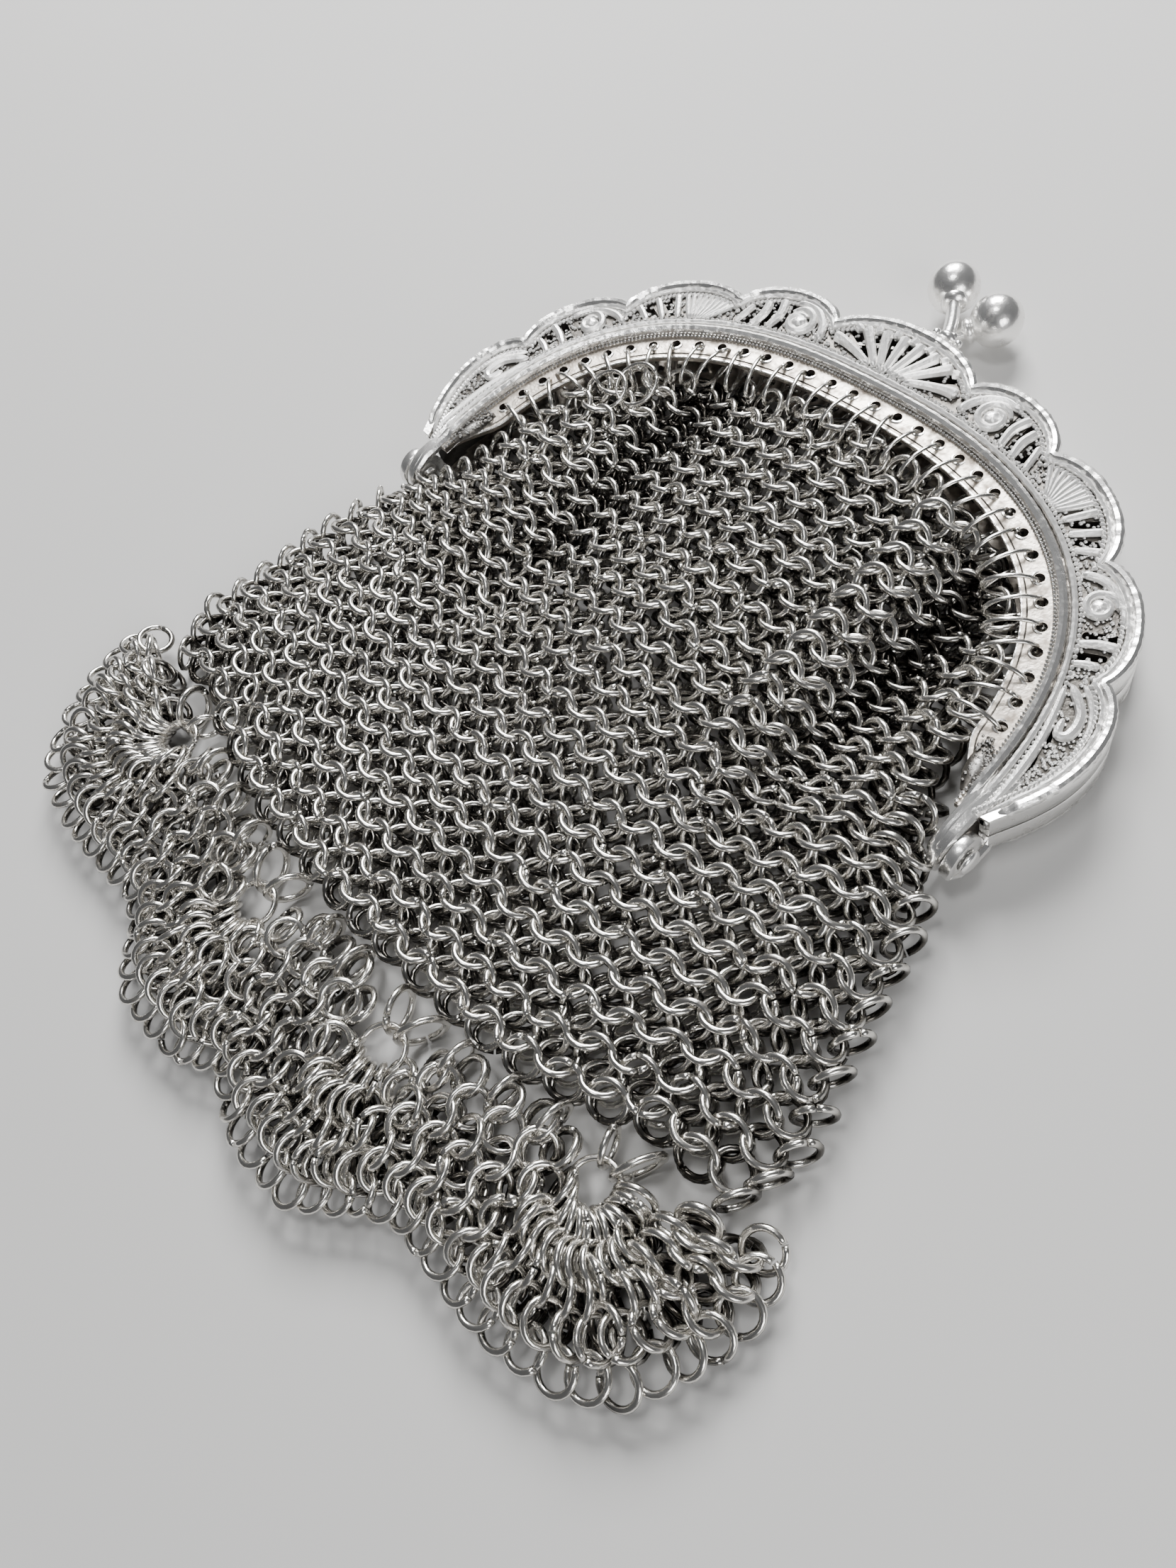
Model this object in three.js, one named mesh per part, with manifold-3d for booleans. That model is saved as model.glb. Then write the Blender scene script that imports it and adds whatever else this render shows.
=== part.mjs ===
// A metal mesh purse lying on its back. Two cast and pierced jaws are riveted together at the
// sides and close with a kiss clasp. A pouch of linked rings hangs in their arch, and a scalloped
// hem of rings hangs from it on four star rings and a row of connecting links.
// Millimetres, +Z up from the table, +Y towards the clasp, the rivets' line at y = 0 while it is
// built. The last lines move the origin to the middle of the footprint.
import * as THREE from 'three';
import { mergeVertices } from 'three/addons/utils/BufferGeometryUtils.js';
import Module from 'manifold-3d';

const wasm = await Module();
wasm.setup();

// Frame: the arch of the two jaws
const RAIL_HALF_WIDTH = 29.2; // from the middle of the purse to the middle of the raised rail
const ARCH_SHOULDER = 3; // height of the straight leg below the arch
const ARCH_RISE = 25.5; // from the shoulder to the crown
const ARCH_SQUARENESS = 2.5; // exponent of the superellipse, 2 is a plain ellipse
const JAW_DEPTH = 2.75; // from the meeting plane to the top of the border
const MEETING_GAP = 0.3; // between the closed jaws
const SKIRT_WALL = 0.8; // the rim that stands down to the meeting plane
const PLATE_UNDER = 1.1; // underside of the pierced plate above the meeting plane
const PLATE_TOP = 1.9; // face of the pierced plate
const FLANGE_WIDTH = 3.2; // sewing flange, from the rail's middle to its inner edge
const FLANGE_FOOT_WIDTH = 0.9; // the same where the flange runs out at the hinge
const FLANGE_TOP = 1.6;
const FLANGE_RUN_OUT = 0.13; // share of the half arch over which the flange widens
const RAIL_RIDGE_HALF = 0.75; // half width of the raised rail
const RAIL_RIDGE_RISE = 0.6;
const BORDER_WIDTH = 1.3; // rope border round the lobes
const BORDER_SHOULDER = 0.8; // how far its sides stop below its top
const SEWING_HOLE_RADIUS = 0.42;
const SEWING_HOLE_PITCH = 2.3;
const SEWING_HOLE_INSET = 1.5; // from the flange's inner edge to the holes' line
const SEWING_START = 0.15; // share of the half arch left without holes at the hinge

// Lobes of the outline from the hinge to the crown. from and to are shares of the half arch,
// low and high are the notches at their ends and peak the lobe's top, as shares of LOBE_REACH.
const LOBE_REACH = 6.3;
const LOBES = [
  { name: 'leaf', from: 0, to: 0.264, low: 0.32, high: 0.54, peak: 0.76, lean: 1.5 },
  { name: 'curl', from: 0.264, to: 0.458, low: 0.54, high: 0.51, peak: 0.8, lean: 1 },
  { name: 'shell', from: 0.458, to: 0.665, low: 0.51, high: 0.56, peak: 0.82, lean: 1 },
  { name: 'scroll', from: 0.665, to: 0.853, low: 0.56, high: 0.6, peak: 0.9, lean: 1 },
  { name: 'fan', from: 0.853, to: 1.147, low: 0.6, high: 0.6, peak: 1, lean: 1 },
];
const LOBE_STEPS = 4;

// Pierced slots: across is -1 on the hinge side and 1 on the crown side of the lobe, up is 0 at
// the rail and 1 at the border, foot and head are the slot's widths in shares of SLOT_WIDTH.
const SLOT_WIDTH = 0.95;
const SLOTS = {
  fan: [-0.74, -0.5, -0.25, 0, 0.25, 0.5, 0.74].map((side) => (
    { across: side * 0.34, up: 0.16, toAcross: side, toUp: 0.9, foot: 0.4, head: 1 })),
  scroll: [
    { across: -0.1, up: 0.12, toAcross: -0.02, toUp: 0.88, foot: 0.7, head: 0.7 },
    { across: -0.42, up: 0.1, toAcross: -0.32, toUp: 0.84, foot: 0.8, head: 0.7 },
    { across: -0.74, up: 0.08, toAcross: -0.6, toUp: 0.7, foot: 0.8, head: 0.6 },
  ],
  shell: [
    { across: -0.2, up: 0.3, toAcross: -0.32, toUp: 0.84, foot: 0.6, head: 0.8 },
    { across: -0.5, up: 0.22, toAcross: -0.64, toUp: 0.72, foot: 0.6, head: 0.8 },
  ],
  curl: [
    { across: -0.2, up: 0.2, toAcross: -0.22, toUp: 0.86, foot: 0.7, head: 0.7 },
    { across: -0.56, up: 0.14, toAcross: -0.56, toUp: 0.72, foot: 0.7, head: 0.6 },
  ],
  leaf: [
    { across: 0.3, up: 0.2, toAcross: 0.12, toUp: 0.3, foot: 0.5, head: 0.5 },
    { across: -0.05, up: 0.24, toAcross: -0.2, toUp: 0.34, foot: 0.5, head: 0.5 },
  ],
};
const EYES = { scroll: { across: 0.34, up: 0.46 }, curl: { across: 0.3, up: 0.46 } };
const EYE_RADIUS = 1;
const EYE_RISE = 0.75;
const SHELL_RIBS = [0.1, 0.32, 0.54, 0.76]; // where the ribs of the side shells end, across
const RIB_WIDTH = 0.36;
const RIB_RISE = 0.35;

// Hinge and clasp
const LEG_END = 2.3; // the jaws' legs stop this far above the rivet
const EAR_RADIUS = 1.9;
const EAR_THICKNESS = 0.9;
const EAR_INSET = 0.2; // the front jaw's ear starts this far inside the rail's middle
const NECK_OVERLAP = 0.6; // how far the ear's neck runs up into the leg
const CLEARANCE = 0.3;
const CUT_TOLERANCE = 0.001; // slivers thinner than this are cleared away after a cut
const PIN_RADIUS = 0.55;
const PIN_HEAD_RADIUS = 1;
const PIN_HEAD_THICKNESS = 0.4;
const KNOB_RADIUS = 2.25;
const KNOB_SPREAD = 2.6; // from the middle of the purse to the middle of each ball
const FRONT_KNOB_HEIGHT = 6.9; // of the ball's middle above the crown of the border
const BACK_KNOB_HEIGHT = 5.9;
const STEM_RADIUS = 0.6;
const COLLAR_RADIUS = 1;
const PEG_RADIUS = 0.45;
const PEG_LENGTH = 1.2; // inside the border
const PEG_STUB = 0.9; // and outside it, inside the collar
const COLLAR_HEIGHT = 0.8;
const COLLAR_LIFT = 0.45; // of the collar's foot above the border
const STEM_START = 0.7; // the stem leaves the collar this high above the border
const STEM_BEND = 1.8; // and bends at this height
const STEM_FOOT_X = 1.6; // the stems cross on their way up

// Pouch of rings
const POUCH_HALF_WIDTH = 36.6;
const POUCH_DROP = 34; // from the rivets' line to the bottom edge at the middle
const POUCH_SIDE_DROP = 29.2; // and at the sides
const POUCH_THICKNESS = 5.6;
const POUCH_WALL = 1;
const RING_MID_Z = 2.25; // the level at which the hem's rings lie
const LIP_THICKNESS = 1.2; // the last row of rings
const LIP_LENGTH = 1.9;
const LIP_SLOPE = 0.5; // over which the hem swells from its lip to its full thickness
const LIP_WIDTH = 0.94; // share of POUCH_HALF_WIDTH at the bottom corners
// Sections from the crown to the lip. y is a share of ARCH_RISE above the rivets and of
// POUCH_SIDE_DROP below them, width of POUCH_HALF_WIDTH, top and under of POUCH_THICKNESS.
const SECTIONS = [
  { y: 1.06, width: 0.79, top: 0.8, under: 0.2 },
  { y: 0.6, width: 0.79, top: 0.84, under: 0.12 },
  { y: 0.2, width: 0.8, top: 0.9, under: 0.06 },
  { y: -0.08, width: 0.83, top: 0.98, under: 0 },
  { y: -0.28, width: 0.9, top: 1, under: 0 },
  { y: -0.52, width: 0.95, top: 0.96, under: 0 },
  { y: -0.76, width: 1, top: 0.88, under: 0 },
  { y: -0.9, width: 0.98, top: 0.78, under: 0 },
];
// Pleats of the front where the mesh is gathered on the arch. at and wide are shares of
// POUCH_HALF_WIDTH, rise is a share of PLEAT_RISE, and the valleys are negative.
const PLEAT_RISE = 0.6;
const PLEAT_END = -0.55; // they fade out at this share of the side drop
const PLEATS = [
  { at: -0.56, wide: 0.1, rise: 0.5 },
  { at: -0.33, wide: 0.1, rise: -0.8 },
  { at: -0.09, wide: 0.11, rise: 1 },
  { at: 0.14, wide: 0.09, rise: -1 },
  { at: 0.31, wide: 0.07, rise: 0.8 },
  { at: 0.49, wide: 0.1, rise: -0.9 },
  { at: 0.68, wide: 0.08, rise: 0.4 },
];
const POUCH_STEPS = 16;

// Hem of rings
const HEM_HALF_WIDTH = 41.4;
const HEM_DROP = 50.6;
const HEM_THICKNESS = 4.1;
const HEM_RIB = 0.3;
const HEM_EDGE_ROUND = 1.3;
const STAR_RADIUS = 1.85; // to the middle of the wire
const STAR_WIRE = 0.27;
const STAR_HOLD = 1.2; // the hem reaches this close to a star ring's middle
const STAR_GAP = 3.9; // from the pouch's edge to a star ring's middle
const INNER_STAR_X = 8.7;
const OUTER_STAR_X = 27.2;
const STAR_COVER = 0.4; // the hem at a star ring is this much thinner to each side than RING_MID_Z
const LINK_WIRE = 0.25;
const LINK_PLAY = 0.15; // between a link and the star ring that it holds
const LINK_GAP = 2; // between the pouch's edge and the hem's
const EYELET_INSET = 0.75;
const EYELET_RADIUS = 0.6;
const STAR_LINK_SPREAD = 24; // degrees to each side of the star ring's top
const LINK_PLACES = [0.046, 0.33, 0.435, 0.53]; // shares of HEM_HALF_WIDTH
// Spokes of the hem from the middle to the end. An edge spoke starts below the pouch's edge at
// that share of HEM_HALF_WIDTH, a star spoke at that angle round the star ring. Each ends at
// x and y, as shares of HEM_HALF_WIDTH and HEM_DROP.
const SPOKES = [
  { start: 'edge', at: 0, x: 0, y: 0.953 },
  { start: 'edge', at: 0.1, x: 0.055, y: 0.978 },
  { start: 'inner', at: -150, x: 0.116, y: 0.994 },
  { start: 'inner', at: -110, x: 0.193, y: 1 },
  { start: 'inner', at: -70, x: 0.275, y: 0.996 },
  { start: 'inner', at: -30, x: 0.34, y: 0.96 },
  { start: 'edge', at: 0.32, x: 0.395, y: 0.917 },
  { start: 'edge', at: 0.44, x: 0.453, y: 0.895 },
  { start: 'edge', at: 0.55, x: 0.52, y: 0.897 },
  { start: 'outer', at: -160, x: 0.6, y: 0.902 },
  { start: 'outer', at: -125, x: 0.71, y: 0.898 },
  { start: 'outer', at: -95, x: 0.83, y: 0.873 },
  { start: 'outer', at: -65, x: 0.916, y: 0.816 },
  { start: 'outer', at: -38, x: 0.96, y: 0.74 },
  { start: 'outer', at: -12, x: 0.993, y: 0.66 },
  { start: 'outer', at: 8, x: 0.994, y: 0.6 },
  { start: 'outer', at: 26, x: 0.955, y: 0.548 },
];

const silver = new THREE.MeshStandardMaterial({ color: 0xd9d7d2, roughness: 0.4, metalness: 1 });
const nickel = new THREE.MeshStandardMaterial({ color: 0xa19c93, roughness: 0.32, metalness: 1 });

const EAR_INNER_X = RAIL_HALF_WIDTH - EAR_INSET; // inner face of the front jaw's ear
const FRAME_THICKNESS = 2 * JAW_DEPTH + MEETING_GAP;
const MEETING_Z = FRAME_THICKNESS / 2;
const v2 = (x, y) => new THREE.Vector2(x, y);
const v3 = (x, y, z) => new THREE.Vector3(x, y, z);
const mix = THREE.MathUtils.lerp;
const radians = THREE.MathUtils.degToRad;

// Solids: a closed geometry becomes a manifold, turned right side out, and back again
function solid(geometry) {
  const bare = geometry.clone();
  bare.deleteAttribute('normal');
  bare.deleteAttribute('uv');
  const merged = mergeVertices(bare, 1e-4);
  const vertProperties = new Float32Array(merged.attributes.position.array);
  const triVerts = new Uint32Array(merged.index.array);
  let made = new wasm.Manifold(new wasm.Mesh({ numProp: 3, vertProperties, triVerts }));
  if (made.volume() < 0) {
    triVerts.reverse();
    made = new wasm.Manifold(new wasm.Mesh({ numProp: 3, vertProperties, triVerts }));
  }
  return made;
}

function geometryOf(body) {
  const { vertProperties, triVerts } = body.simplify(CUT_TOLERANCE).getMesh();
  const geometry = new THREE.BufferGeometry();
  geometry.setAttribute('position', new THREE.BufferAttribute(new Float32Array(vertProperties), 3));
  geometry.setIndex(new THREE.BufferAttribute(new Uint32Array(triVerts), 1));
  geometry.computeVertexNormals();
  return geometry;
}

const joined = (solids) => solids.reduce((all, one) => all.add(one));

// An end of a skin whose sections are bent across: opposite points are joined, like a zip
function zipped(sides) {
  const half = sides / 2;
  const faces = [];
  for (let j = 0; j < half; j += 1) {
    const a = (sides - j) % sides;
    const b = sides - j - 1;
    if (a !== j) faces.push([j, b, a]);
    if (b !== j + 1) faces.push([j, j + 1, b]);
  }
  return faces;
}

// A closed skin through equal sections, each a list of flat points that place() sets in space
function loft(count, section, place, capped = (flat) => THREE.ShapeUtils.triangulateShape(flat, [])) {
  const flat = Array.from({ length: count }, (_, i) => section(i));
  const sides = flat[0].length;
  const points = flat.flatMap((ring, i) => ring.map((point) => place(i, point)));
  const index = [];
  for (let i = 0; i < count - 1; i += 1) {
    for (let j = 0; j < sides; j += 1) {
      const a = i * sides + j;
      const b = i * sides + ((j + 1) % sides);
      index.push(a, b, a + sides, b, b + sides, a + sides);
    }
  }
  const last = (count - 1) * sides;
  for (const [a, b, c] of capped(flat[0])) index.push(c, b, a);
  for (const [a, b, c] of capped(flat[count - 1])) index.push(last + a, last + b, last + c);
  const geometry = new THREE.BufferGeometry().setFromPoints(points);
  geometry.setIndex(index);
  return geometry;
}

// The rail: t runs from 0 at the right hinge to 1 at the left one, d is the distance outwards
function railCurve() {
  const steps = 16;
  const quarter = Array.from({ length: steps + 1 }, (_, i) => {
    const turn = (Math.PI / 2) * (i / steps);
    const power = 2 / ARCH_SQUARENESS;
    return v2(
      RAIL_HALF_WIDTH * Math.max(Math.cos(turn), 0) ** power,
      ARCH_SHOULDER + ARCH_RISE * Math.sin(turn) ** power,
    );
  });
  const right = [v2(RAIL_HALF_WIDTH, LEG_END), ...quarter];
  const left = right.slice(0, -1).reverse().map((p) => v2(-p.x, p.y));
  const curve = new THREE.SplineCurve([...right, ...left]);
  curve.arcLengthDivisions = 1200;
  return curve;
}
const rail = railCurve();
const halfLength = rail.getLength() / 2;
const fromHinge = (t) => 1 - Math.abs(2 * t - 1);

function onRail(t, d) {
  const point = rail.getPointAt(t);
  const along = rail.getTangentAt(t);
  return v2(point.x + along.y * d, point.y - along.x * d);
}

function lobeReach(t) {
  const s = fromHinge(t);
  const lobe = LOBES.find(({ to }) => s <= to + 1e-9);
  const u = THREE.MathUtils.clamp((s - lobe.from) / (lobe.to - lobe.from), 0, 1);
  const arch = (1 - Math.abs(2 * u ** lobe.lean - 1) ** 2.2) ** 0.75;
  const notch = mix(lobe.low, lobe.high, u);
  return LOBE_REACH * (notch + (lobe.peak - (lobe.low + lobe.high) / 2) * arch);
}

function flangeWidth(t) {
  const share = THREE.MathUtils.smoothstep(fromHinge(t), 0, FLANGE_RUN_OUT);
  return mix(FLANGE_FOOT_WIDTH, FLANGE_WIDTH, share);
}

function railStations() {
  const half = LOBES.flatMap(({ from, to }) => (
    Array.from({ length: LOBE_STEPS }, (_, i) => mix(from, to, i / LOBE_STEPS))));
  const rising = half.filter((s) => s < 1 - 1e-9).map((s) => s / 2);
  return [...rising, 0.5, ...rising.slice().reverse().map((t) => 1 - t)];
}

function jawSection(t) {
  const outer = lobeReach(t);
  const flange = flangeWidth(t);
  return [
    v2(-flange, PLATE_UNDER),
    v2(outer - SKIRT_WALL, PLATE_UNDER),
    v2(outer - SKIRT_WALL, 0),
    v2(outer, 0),
    v2(outer, JAW_DEPTH - BORDER_SHOULDER),
    v2(outer - BORDER_WIDTH / 2, JAW_DEPTH),
    v2(outer - BORDER_WIDTH, JAW_DEPTH - BORDER_SHOULDER),
    v2(Math.min(RAIL_RIDGE_HALF, outer - BORDER_WIDTH - 0.1), PLATE_TOP),
    v2(RAIL_RIDGE_HALF / 2, PLATE_TOP + RAIL_RIDGE_RISE),
    v2(-RAIL_RIDGE_HALF / 2, PLATE_TOP + RAIL_RIDGE_RISE),
    v2(-RAIL_RIDGE_HALF, FLANGE_TOP),
    v2(-flange, FLANGE_TOP),
  ];
}

// Where a share across and up a lobe lies on the plate, on the right half or the left one
function onLobe(lobe, across, up, side) {
  const s = mix(lobe.from, lobe.to, (across + 1) / 2);
  const t = side > 0 ? s / 2 : 1 - s / 2;
  const reach = lobeReach(t) - BORDER_WIDTH;
  return onRail(t, mix(RAIL_RIDGE_HALF, reach, up));
}

function slotCutter(lobe, slot, side) {
  const foot = onLobe(lobe, slot.across, slot.up, side);
  const head = onLobe(lobe, slot.toAcross, slot.toUp, side);
  const aside = head.clone().sub(foot).normalize().rotateAround(v2(0, 0), Math.PI / 2);
  const corner = (end, share) => end.clone().addScaledVector(aside, (share * SLOT_WIDTH) / 2);
  const outline = new THREE.Shape([
    corner(foot, slot.foot), corner(foot, -slot.foot), corner(head, -slot.head), corner(head, slot.head),
  ]);
  const cutter = new THREE.ExtrudeGeometry(outline, { depth: JAW_DEPTH, bevelEnabled: false });
  return solid(cutter.translate(0, 0, PLATE_UNDER / 2));
}

function sewingHoles() {
  const span = 1 - SEWING_START;
  const count = Math.round((2 * halfLength * span) / SEWING_HOLE_PITCH);
  return Array.from({ length: count }, (_, i) => {
    const t = mix(SEWING_START / 2, 1 - SEWING_START / 2, i / (count - 1));
    const at = onRail(t, SEWING_HOLE_INSET - flangeWidth(t));
    const hole = new THREE.CylinderGeometry(SEWING_HOLE_RADIUS, SEWING_HOLE_RADIUS, JAW_DEPTH, 5);
    return solid(hole.rotateX(Math.PI / 2).translate(at.x, at.y, FLANGE_TOP));
  });
}

function scrollEye(lobe, eye, side) {
  const at = onLobe(lobe, eye.across, eye.up, side);
  const dome = new THREE.SphereGeometry(EYE_RADIUS, 7, 4);
  dome.rotateX(Math.PI / 2).scale(1, 1, EYE_RISE / EYE_RADIUS);
  return solid(dome.translate(at.x, at.y, PLATE_TOP));
}

function shellRib(lobe, across, side) {
  const foot = onLobe(lobe, mix(0.2, across, 0.3), 0.05, side);
  const head = onLobe(lobe, across, 0.95, side);
  const run = head.clone().sub(foot);
  const rib = new THREE.BoxGeometry(run.length(), RIB_WIDTH, 2 * RIB_RISE);
  rib.rotateZ(run.angle());
  return solid(rib.translate((foot.x + head.x) / 2, (foot.y + head.y) / 2, PLATE_TOP));
}

// Ear on one side: a disc round the rivet and the neck that joins it to the leg
function ear(side, inner) {
  const middle = side * (inner + EAR_THICKNESS / 2);
  const disc = new THREE.CylinderGeometry(EAR_RADIUS, EAR_RADIUS, EAR_THICKNESS, 14);
  disc.rotateZ(Math.PI / 2).translate(middle, 0, -MEETING_GAP / 2);
  const neckDepth = JAW_DEPTH - BORDER_SHOULDER;
  const neck = new THREE.BoxGeometry(EAR_THICKNESS, LEG_END + NECK_OVERLAP, neckDepth);
  neck.translate(middle, (LEG_END + NECK_OVERLAP) / 2, neckDepth / 2);
  const boreRadius = PIN_RADIUS + CLEARANCE;
  const bore = new THREE.CylinderGeometry(boreRadius, boreRadius, 3 * EAR_THICKNESS, 10);
  bore.rotateZ(Math.PI / 2).translate(middle, 0, -MEETING_GAP / 2);
  return solid(disc).add(solid(neck)).subtract(solid(bore));
}

// One jaw, face up, its meeting plane at z = 0
function jaw(earInner) {
  const stations = railStations();
  const shell = solid(loft(
    stations.length,
    (i) => jawSection(stations[i]),
    (i, { x, y }) => {
      const at = onRail(stations[i], x);
      return v3(at.x, at.y, y);
    },
  ));
  const raised = [shell, ear(1, earInner), ear(-1, earInner)];
  const cuts = sewingHoles();
  for (const lobe of LOBES) {
    for (const side of lobe.name === 'fan' ? [1] : [1, -1]) {
      for (const slot of SLOTS[lobe.name]) cuts.push(slotCutter(lobe, slot, side));
      if (EYES[lobe.name]) raised.push(scrollEye(lobe, EYES[lobe.name], side));
      if (lobe.name === 'shell') raised.push(...SHELL_RIBS.map((to) => shellRib(lobe, to, side)));
    }
  }
  cuts.push(solid(pegHole()));
  return joined(raised).subtract(joined(cuts));
}

// Clasp knob: a ball on a bent stem with a collar, pegged into the top of the border. Its stem
// starts right of the middle and leans left, so that the two jaws' stems cross.
const crownTop = rail.getPointAt(0.5).y + LOBE_REACH;
const pegZ = PLATE_UNDER + (JAW_DEPTH - BORDER_SHOULDER - PLATE_UNDER) / 2;

const stemFoot = v3(STEM_FOOT_X, crownTop - LOBE_REACH * 0.03, pegZ);

function pegHole() {
  const radius = PEG_RADIUS + CLEARANCE * 0.5;
  const hole = new THREE.CylinderGeometry(radius, radius, 2 * (PEG_LENGTH + CLEARANCE), 8);
  return hole.translate(stemFoot.x, stemFoot.y, stemFoot.z);
}

function knob(height) {
  const foot = stemFoot;
  const ball = v3(-KNOB_SPREAD, crownTop + height, 0);
  const peg = new THREE.CylinderGeometry(PEG_RADIUS, PEG_RADIUS, PEG_LENGTH + PEG_STUB, 8);
  peg.translate(foot.x, foot.y + (PEG_STUB - PEG_LENGTH) / 2, foot.z);
  const collar = new THREE.CylinderGeometry(COLLAR_RADIUS, COLLAR_RADIUS * 0.8, COLLAR_HEIGHT, 10);
  collar.translate(foot.x, foot.y + COLLAR_LIFT + COLLAR_HEIGHT / 2, foot.z);
  const bend = v3(foot.x, foot.y + STEM_BEND, foot.z);
  const line = new THREE.CatmullRomCurve3([v3(foot.x, foot.y + STEM_START, foot.z), bend, ball]);
  const round = new THREE.Shape(Array.from({ length: 8 }, (_, i) => (
    v2(STEM_RADIUS, 0).rotateAround(v2(0, 0), (i * Math.PI) / 4))));
  const stem = new THREE.ExtrudeGeometry(round, { steps: 5, extrudePath: line });
  const head = new THREE.SphereGeometry(KNOB_RADIUS, 12, 7);
  head.translate(ball.x, ball.y, ball.z);
  return joined([peg, collar, stem, head].map(solid));
}

// Rivet through both ears of one side, with a head at each end
function rivet() {
  const inner = EAR_INNER_X - CLEARANCE;
  const outer = EAR_INNER_X + 2 * EAR_THICKNESS + 2 * CLEARANCE;
  const head = PIN_HEAD_THICKNESS;
  const profile = [
    v2(0, inner - head), v2(PIN_HEAD_RADIUS, inner - head), v2(PIN_HEAD_RADIUS, inner),
    v2(PIN_RADIUS, inner), v2(PIN_RADIUS, outer), v2(PIN_HEAD_RADIUS, outer),
    v2(PIN_HEAD_RADIUS, outer + head), v2(0, outer + head),
  ];
  return new THREE.LatheGeometry(profile, 10).rotateZ(-Math.PI / 2);
}

// The pouch's bottom edge hangs lower at the middle
function pouchEdge(x) {
  const share = Math.min(Math.abs(x) / (0.75 * POUCH_HALF_WIDTH), 1);
  return -mix(POUCH_SIDE_DROP, POUCH_DROP, 1 - share ** 2.5);
}

function pleat(x, y) {
  const fade = THREE.MathUtils.smoothstep(y, PLEAT_END * POUCH_SIDE_DROP, ARCH_RISE * 0.3);
  const bump = ({ at, wide, rise }) => {
    const off = (x / POUCH_HALF_WIDTH - at) / wide;
    return rise * Math.exp(-off * off);
  };
  return PLEAT_RISE * fade * PLEATS.reduce((sum, one) => sum + bump(one), 0);
}

// One level round of the pouch. inset is how far it lies inside the outer skin.
function pouchRing({ y, halfWidth, top, under }, inset) {
  const reach = halfWidth - inset;
  const ring = [];
  const middle = (top + under) / 2;
  for (let i = 0; i <= POUCH_STEPS; i += 1) {
    const x = reach * Math.cos((Math.PI * i) / POUCH_STEPS);
    const round = Math.sqrt(Math.max(1 - (x / reach) ** 6, 0));
    ring.push(v3(x, y, middle + (top - inset - middle + pleat(x, y)) * round));
  }
  for (let i = 1; i < POUCH_STEPS; i += 1) {
    const x = -reach * Math.cos((Math.PI * i) / POUCH_STEPS);
    const round = i > 1 && i < POUCH_STEPS - 1 ? 1 : 0.6;
    ring.push(v3(x, y, middle - (middle - under - inset) * round));
  }
  return ring;
}

function pouchSkin(levels, inset) {
  return loft(
    levels.length,
    (i) => pouchRing(levels[i], inset).map((p) => v2(p.x, p.z)),
    (i, { x, y: z }) => {
      const { y } = levels[i];
      const sag = THREE.MathUtils.smoothstep(-y, 0, POUCH_SIDE_DROP);
      return v3(x, y + sag * (pouchEdge(x) + POUCH_SIDE_DROP), z);
    },
    (flat) => zipped(flat.length),
  );
}

function pouchLevels() {
  const full = SECTIONS.map(({ y, width, top, under }) => ({
    y: y * (y > 0 ? ARCH_RISE : POUCH_SIDE_DROP),
    halfWidth: width * POUCH_HALF_WIDTH,
    top: top * POUCH_THICKNESS,
    under: under * POUCH_THICKNESS,
  }));
  const lip = { halfWidth: LIP_WIDTH * POUCH_HALF_WIDTH, top: RING_MID_Z + LIP_THICKNESS / 2 };
  lip.under = RING_MID_Z - LIP_THICKNESS / 2;
  return {
    outer: [...full, { ...lip, y: LIP_LENGTH - POUCH_SIDE_DROP }, { ...lip, y: -POUCH_SIDE_DROP }],
    inner: [{ ...full[0], y: full[0].y + POUCH_WALL }, ...full.slice(1)],
  };
}

// The room inside the jaws' flanges, open below the hinge ears
function archRoom() {
  const steps = 24;
  const edge = Array.from({ length: steps + 1 }, (_, i) => (
    onRail(i / steps, -flangeWidth(i / steps) - CLEARANCE)));
  const innerX = EAR_INNER_X - CLEARANCE - PIN_HEAD_THICKNESS - CLEARANCE;
  const earFoot = -EAR_RADIUS - CLEARANCE;
  const wide = 2 * POUCH_HALF_WIDTH;
  const low = -2 * POUCH_DROP;
  const foot = [v2(-innerX, earFoot), v2(-wide, earFoot), v2(-wide, low)];
  const around = [...edge.slice(1, -1), ...foot, ...foot.slice().reverse().map((p) => v2(-p.x, p.y))];
  const room = new THREE.ExtrudeGeometry(new THREE.Shape(around), {
    depth: 4 * POUCH_THICKNESS, bevelEnabled: false,
  });
  return solid(room.translate(0, 0, -POUCH_THICKNESS));
}

// Star rings lie flat below the pouch's edge. Each is held by two upright links.
const stars = [['inner', INNER_STAR_X], ['outer', OUTER_STAR_X]].flatMap(([name, x]) => (
  [-1, 1].map((side) => ({ name, side, x: side * x, y: pouchEdge(x) - STAR_GAP }))));

function starLinks() {
  const near = STAR_RADIUS - STAR_WIRE - LINK_WIRE - LINK_PLAY;
  const far = STAR_GAP + EYELET_INSET;
  return stars.flatMap((star) => [-STAR_LINK_SPREAD, STAR_LINK_SPREAD].map((turn) => {
    const way = v2(Math.sin(radians(turn)), Math.cos(radians(turn)));
    const edgeX = star.x + way.x * far;
    const reach = (pouchEdge(edgeX) + EYELET_INSET - star.y) / way.y;
    const from = v2(star.x, star.y).addScaledVector(way, near);
    const to = v2(star.x, star.y).addScaledVector(way, reach);
    return { from, to };
  }));
}

function edgeLinks() {
  return LINK_PLACES.flatMap((share) => [-1, 1].map((side) => {
    const x = side * share * HEM_HALF_WIDTH;
    const edge = pouchEdge(x);
    return { from: v2(x, edge - LINK_GAP - EYELET_INSET), to: v2(x, edge + EYELET_INSET) };
  }));
}

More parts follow.
